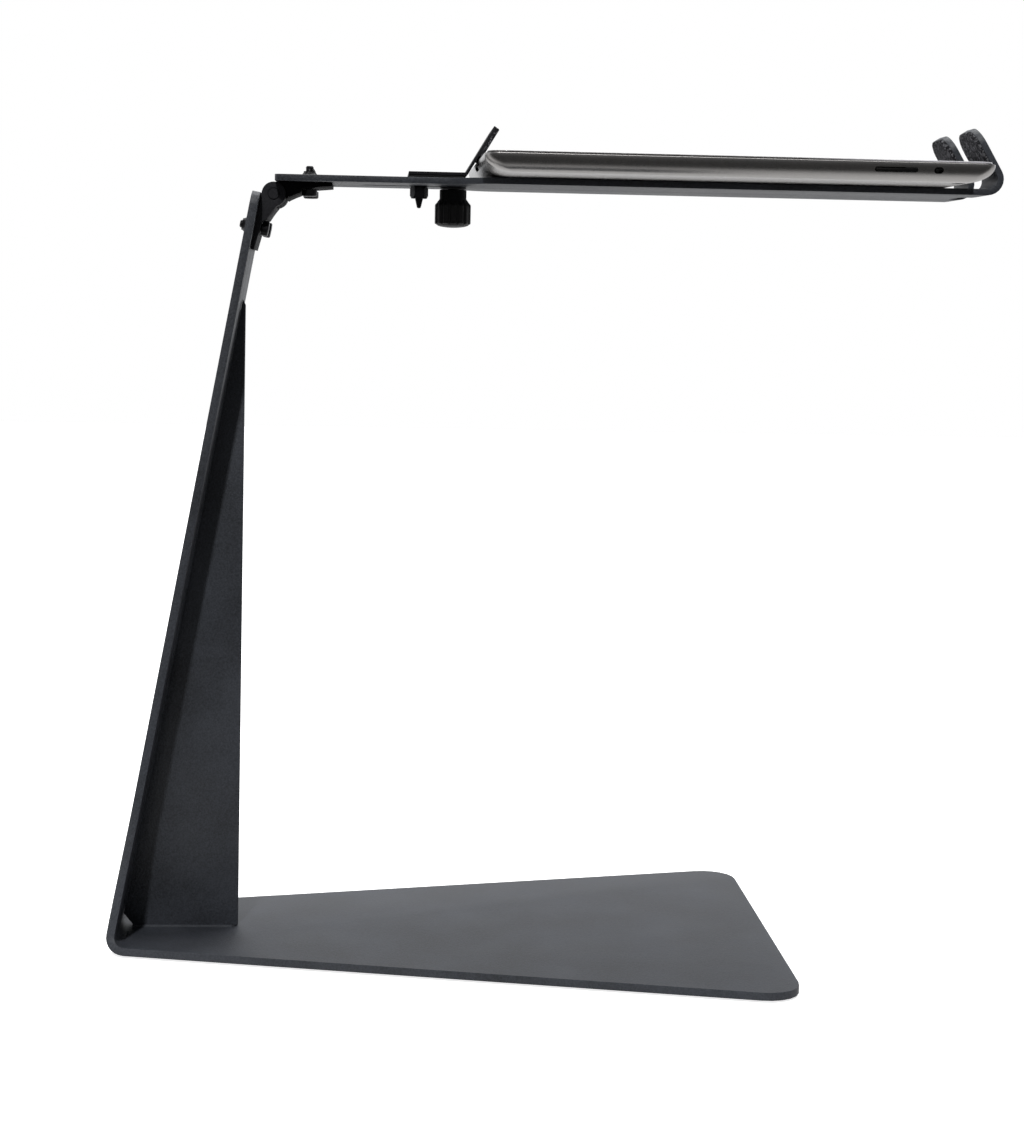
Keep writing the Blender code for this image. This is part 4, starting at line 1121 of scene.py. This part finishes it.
    def cut(self, shell: bpy.types.Object, middle: Vector, size: tuple[float, float, float], radius: float,
            axis: str) -> bpy.types.Object:
        """Cuts one round-cornered opening.

        Args:
            shell: the object to cut.
            middle: the middle of the opening.
            size: its length, its width and how deep the tool is.
            radius: the radius of its corners.
            axis: the axis that the tool runs along.

        Returns:
            The tool, to remove once the cut is baked.
        """
        bm = bmesh.new()
        outline = rounded((size[0] / 2, size[1] / 2), radius, 6)
        loops = [[bm.verts.new((x, y, z)) for x, y in outline] for z in (-size[2] / 2, size[2] / 2)]
        bm.faces.new(loops[0])
        bm.faces.new(loops[1])
        joined(bm, *loops)
        turn = {"Z": Matrix.Identity(4), "Y": Matrix.Rotation(math.pi / 2, 4, "X"),
                "X": Matrix.Rotation(math.pi / 2, 4, "Y")}[axis]
        bmesh.ops.remove_doubles(bm, verts=bm.verts, dist=1e-4)
        place = Matrix.Translation(middle) @ turn @ Matrix.Scale(MM, 4)
        bmesh.ops.transform(bm, matrix=place, verts=bm.verts)
        tool = new_object("cutting_tool", finished(bm, "cutting_tool"))
        self.build.dresser.dress(tool, Finish.KEY)
        boolean = shell.modifiers.new("opening", "BOOLEAN")
        boolean.operation = "DIFFERENCE"
        boolean.solver = "EXACT"
        boolean.material_mode = "TRANSFER"
        boolean.object = tool
        return tool

    def grille(self) -> None:
        """The perforated strip over the speaker: one tile repeated by a Geometry Nodes tree."""
        tile = new_object("grille_tile", self.tile())
        base = new_object("speaker_grille", bpy.data.meshes.new("speaker_grille"))
        tree = bpy.data.node_groups.new("perforated_strip", "GeometryNodeTree")
        sockets = {}
        for name, side, kind in (
                ("Geometry", "INPUT", "NodeSocketGeometry"), ("Tile", "INPUT", "NodeSocketObject"),
                ("Pitch", "INPUT", VALUE), ("Columns", "INPUT", "NodeSocketInt"),
                ("Rows", "INPUT", "NodeSocketInt"), ("Finish", "INPUT", "NodeSocketMaterial"),
                ("Geometry", "OUTPUT", "NodeSocketGeometry")):
            made = tree.interface.new_socket(name=name, in_out=side, socket_type=kind)
            sockets.setdefault(name, made.identifier)
        graph = Graph(tree)
        given = graph.add("NodeGroupInput").outputs
        spans = [graph.math("MULTIPLY", given["Pitch"], graph.math("SUBTRACT", given[side], 1.0))
                 for side in ("Columns", "Rows")]
        points = graph.add("GeometryNodeMeshGrid", {
            "Size X": spans[0], "Size Y": spans[1],
            "Vertices X": given["Columns"], "Vertices Y": given["Rows"]})
        shape = graph.add("GeometryNodeObjectInfo", {"Object": given["Tile"]}, transform_space="ORIGINAL")
        placed = graph.add("GeometryNodeInstanceOnPoints", {"Points": points.outputs["Mesh"],
                                                            "Instance": shape.outputs["Geometry"]})
        solid = graph.add("GeometryNodeRealizeInstances", {"Geometry": placed.outputs["Instances"]})
        welded = graph.add("GeometryNodeMergeByDistance", {"Geometry": solid.outputs["Geometry"],
                                                           "Distance": 0.00001})
        dressed = graph.add("GeometryNodeSetMaterial", {"Geometry": welded.outputs["Geometry"],
                                                        "Material": given["Finish"]})
        out = graph.add("NodeGroupOutput")
        graph.feed(out.inputs["Geometry"], dressed.outputs["Geometry"])
        strip = base.modifiers.new("strip", "NODES")
        strip.node_group = tree
        values = {"Tile": tile, "Pitch": self.grille_pitch * MM,
                  "Finish": self.build.dresser.material(Finish.KEY),
                  "Columns": round(self.grille_size[0] / self.grille_pitch),
                  "Rows": round(self.grille_size[1] / self.grille_pitch)}
        for name, value in values.items():
            strip[sockets[name]] = value
        baked(base)
        bpy.data.objects.remove(tile)
        base.data.transform(Matrix.Translation(heel(*self.grille_place, self.bottom + 0.35)))
        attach(base, self.build.frame["nodes"]["tablet_back_shell"]["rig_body"])

    def tile(self) -> bpy.types.Mesh:
        """One square of the perforated strip: a plate with a round hole in it."""
        half = self.grille_pitch / 2
        ring = []
        for step in range(16):
            a = math.radians(22.5 * step)
            reach = half / max(abs(math.cos(a)), abs(math.sin(a)))
            ring.append((a, reach))
        bm = bmesh.new()
        loops = []
        for hole, z in ((False, 0.0), (True, 0.0), (True, 0.5), (False, 0.5)):
            loop = []
            for a, reach in ring:
                out = Vector((math.cos(a), math.sin(a), 0)) * (self.grille_hole if hole else reach)
                loop.append(bm.verts.new((out + Vector((0, 0, z))) * MM))
            loops.append(loop)
        for low, high in zip(loops, loops[1:]):
            joined(bm, high, low)
        return finished(bm, "grille_tile")


# ------------------------------------------------------------------ studio


@dataclass(frozen=True)
class Studio:
    """The pale floor, the lights and the camera."""

    position: tuple[float, float, float] = (-0.09145, -1.1507, 0.3410)
    yaw: float = 0.0647
    pitch: float = 0.1228
    roll: float = 0.0201
    focal: float = 2206.35
    floor_size: float = 9.0
    key_strength: float = 1.8
    overhead_energy: float = 34.0
    bright_from: float = -0.30
    bright_over: float = 0.22
    front_grey: float = 0.01
    rear_grey: float = 0.55
    seen_grey: float = 0.9
    seen_glow: float = 0.80
    front_glow: float = 0.05
    rear_glow: float = 0.18

    def make(self) -> None:
        """Builds everything round the object."""
        self.floor()
        self.world()
        self.lights()
        self.camera()

    def floor(self) -> None:
        """A plain pale floor, which lights the object less from in front of it than from behind.

        What it throws on the object grows along Y, over bright_over metres from bright_from. Seen by the
        camera it is near white all over.
        """
        bm = bmesh.new()
        bmesh.ops.create_grid(bm, x_segments=1, y_segments=1, size=self.floor_size / 2)
        mesh = bpy.data.meshes.new("floor")
        bm.to_mesh(mesh)
        bm.free()
        floor = new_object("floor", mesh)
        paint, graph, shader = blank_material("pale_floor")
        where = graph.add("ShaderNodeTexCoord").outputs["Object"]
        split = graph.split(where)
        behind = graph.math("DIVIDE", graph.math("SUBTRACT", split["Y"], self.bright_from), self.bright_over,
                            clamp=True)
        path = graph.add("ShaderNodeLightPath")
        seen = path.outputs["Is Camera Ray"]
        grey = graph.math("MULTIPLY_ADD", behind, self.rear_grey, self.front_grey)
        colour = graph.mix(seen, self.grey(graph, grey), (*[self.seen_grey] * 3, 1))
        glow = graph.math("MULTIPLY_ADD", seen,
                          graph.math("SUBTRACT", self.seen_glow, graph.math("MULTIPLY", behind, 0.22)),
                          graph.math("MULTIPLY_ADD", behind, self.rear_glow, self.front_glow))
        graph.feed(shader.inputs["Base Color"], colour)
        graph.feed(shader.inputs["Emission Strength"], glow)
        shader.inputs["Emission Color"].default_value = (1, 1, 1, 1)
        shader.inputs["Roughness"].default_value = 0.9
        shader.inputs["Specular IOR Level"].default_value = 0.05
        mesh.materials.append(paint)
        floor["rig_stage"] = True

    @staticmethod
    def grey(graph: Graph, value: bpy.types.NodeSocket) -> bpy.types.NodeSocket:
        """A value as a grey colour."""
        node = graph.add("ShaderNodeCombineColor", {"Red": value, "Green": value, "Blue": value})
        return node.outputs["Color"]

    def world(self) -> None:
        """White surroundings, dim in front of the object and brightest low down behind it."""
        world = bpy.data.worlds.new("studio")
        bpy.context.scene.world = world
        world.use_nodes = True
        graph = Graph(world.node_tree)
        background = world.node_tree.nodes["Background"]
        where = graph.add("ShaderNodeTexCoord").outputs["Generated"]
        split = graph.split(where)
        facing = graph.math("MULTIPLY_ADD", split["Y"], 0.5, 0.5)
        back = graph.ramp(facing, [(0.0, 0.0), (0.4, 0.005), (0.58, 0.22), (0.85, 1.0)])
        height = graph.ramp(split["Z"], [(0.0, 1.0), (0.45, 0.8), (1.0, 0.5)])
        rear = graph.mix(1.0, back, height, "MULTIPLY")
        beside = graph.ramp(graph.math("MULTIPLY", split["X"], -1.0), [(0.55, 0.0), (0.85, 0.85)])
        left = graph.mix(1.0, beside, graph.ramp(facing, [(0.38, 0.0), (0.5, 1.0)]), "MULTIPLY")
        front = graph.ramp(split["Z"], [(0.0, 0.16), (0.03, 0.32), (0.16, 0.22), (0.45, 0.0)])
        light = graph.mix(1.0, graph.mix(1.0, rear, left, "LIGHTEN"), front, "LIGHTEN")
        light = graph.mix(1.0, light, (0.96, 0.975, 1.0, 1), "MULTIPLY")
        path = graph.add("ShaderNodeLightPath")
        colour = graph.mix(path.outputs["Is Camera Ray"], light, (1, 1, 1, 1))
        graph.feed(background.inputs["Color"], colour)

    def lights(self) -> None:
        """A distant key from the front and above, and a broad soft light overhead."""
        sun = bpy.data.lights.new("key", "SUN")
        sun.energy = self.key_strength
        sun.angle = 0.05
        self.lamp(sun, (-0.18, -1.0, 1.0), (0.0, 0.0, 0.0))
        soft = bpy.data.lights.new("overhead", "AREA")
        soft.energy = self.overhead_energy
        soft.size = 1.6
        self.lamp(soft, (0.1, 0.6, 2.2), (0.0, 0.0, 0.1))

    def lamp(self, data: bpy.types.Light, place: Point, aim: Point) -> None:
        """Stands a light at a place, facing a point."""
        lamp = bpy.data.objects.new(data.name, data)
        bpy.context.scene.collection.objects.link(lamp)
        lamp.location = place
        lamp.rotation_euler = (Vector(aim) - Vector(place)).to_track_quat("-Z", "Y").to_euler()

    def camera(self) -> None:
        """The camera at the viewing height of someone seated before the arm."""
        data = bpy.data.cameras.new("camera")
        data.sensor_width = 36.0
        data.lens = self.focal * data.sensor_width / max(IMAGE_WIDTH, IMAGE_HEIGHT)
        camera = bpy.data.objects.new("camera", data)
        bpy.context.scene.collection.objects.link(camera)
        ahead = Vector((math.sin(self.yaw) * math.cos(self.pitch), math.cos(self.yaw) * math.cos(self.pitch),
                        -math.sin(self.pitch)))
        level = Vector((math.cos(self.yaw), -math.sin(self.yaw), 0))
        above = level.cross(ahead)
        right = level * math.cos(self.roll) + above * math.sin(self.roll)
        up = above * math.cos(self.roll) - level * math.sin(self.roll)
        turn = Matrix((right, up, -ahead)).transposed()
        camera.matrix_world = Matrix.Translation(self.position) @ turn.to_4x4()
        bpy.context.scene.camera = camera
        view = bpy.context.scene.view_settings
        view.view_transform = "Standard"
        view.look = "None"


# ------------------------------------------------------------------ main


def corners() -> list[list[float]]:
    """The lowest and highest corner of what is shown, as plain lists."""
    return [list(corner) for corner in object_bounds()]


def main() -> None:
    """Builds the object round the frame."""
    logging.basicConfig(level=logging.INFO, format="%(name)s: %(message)s")
    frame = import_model()
    builder = Builder(frame, Dresser())
    for assembly in (Stand, Hinge, Arm, Clip, Tablet):
        assembly(builder).make()
    Studio().make()


if __name__ == "__main__":
    main()
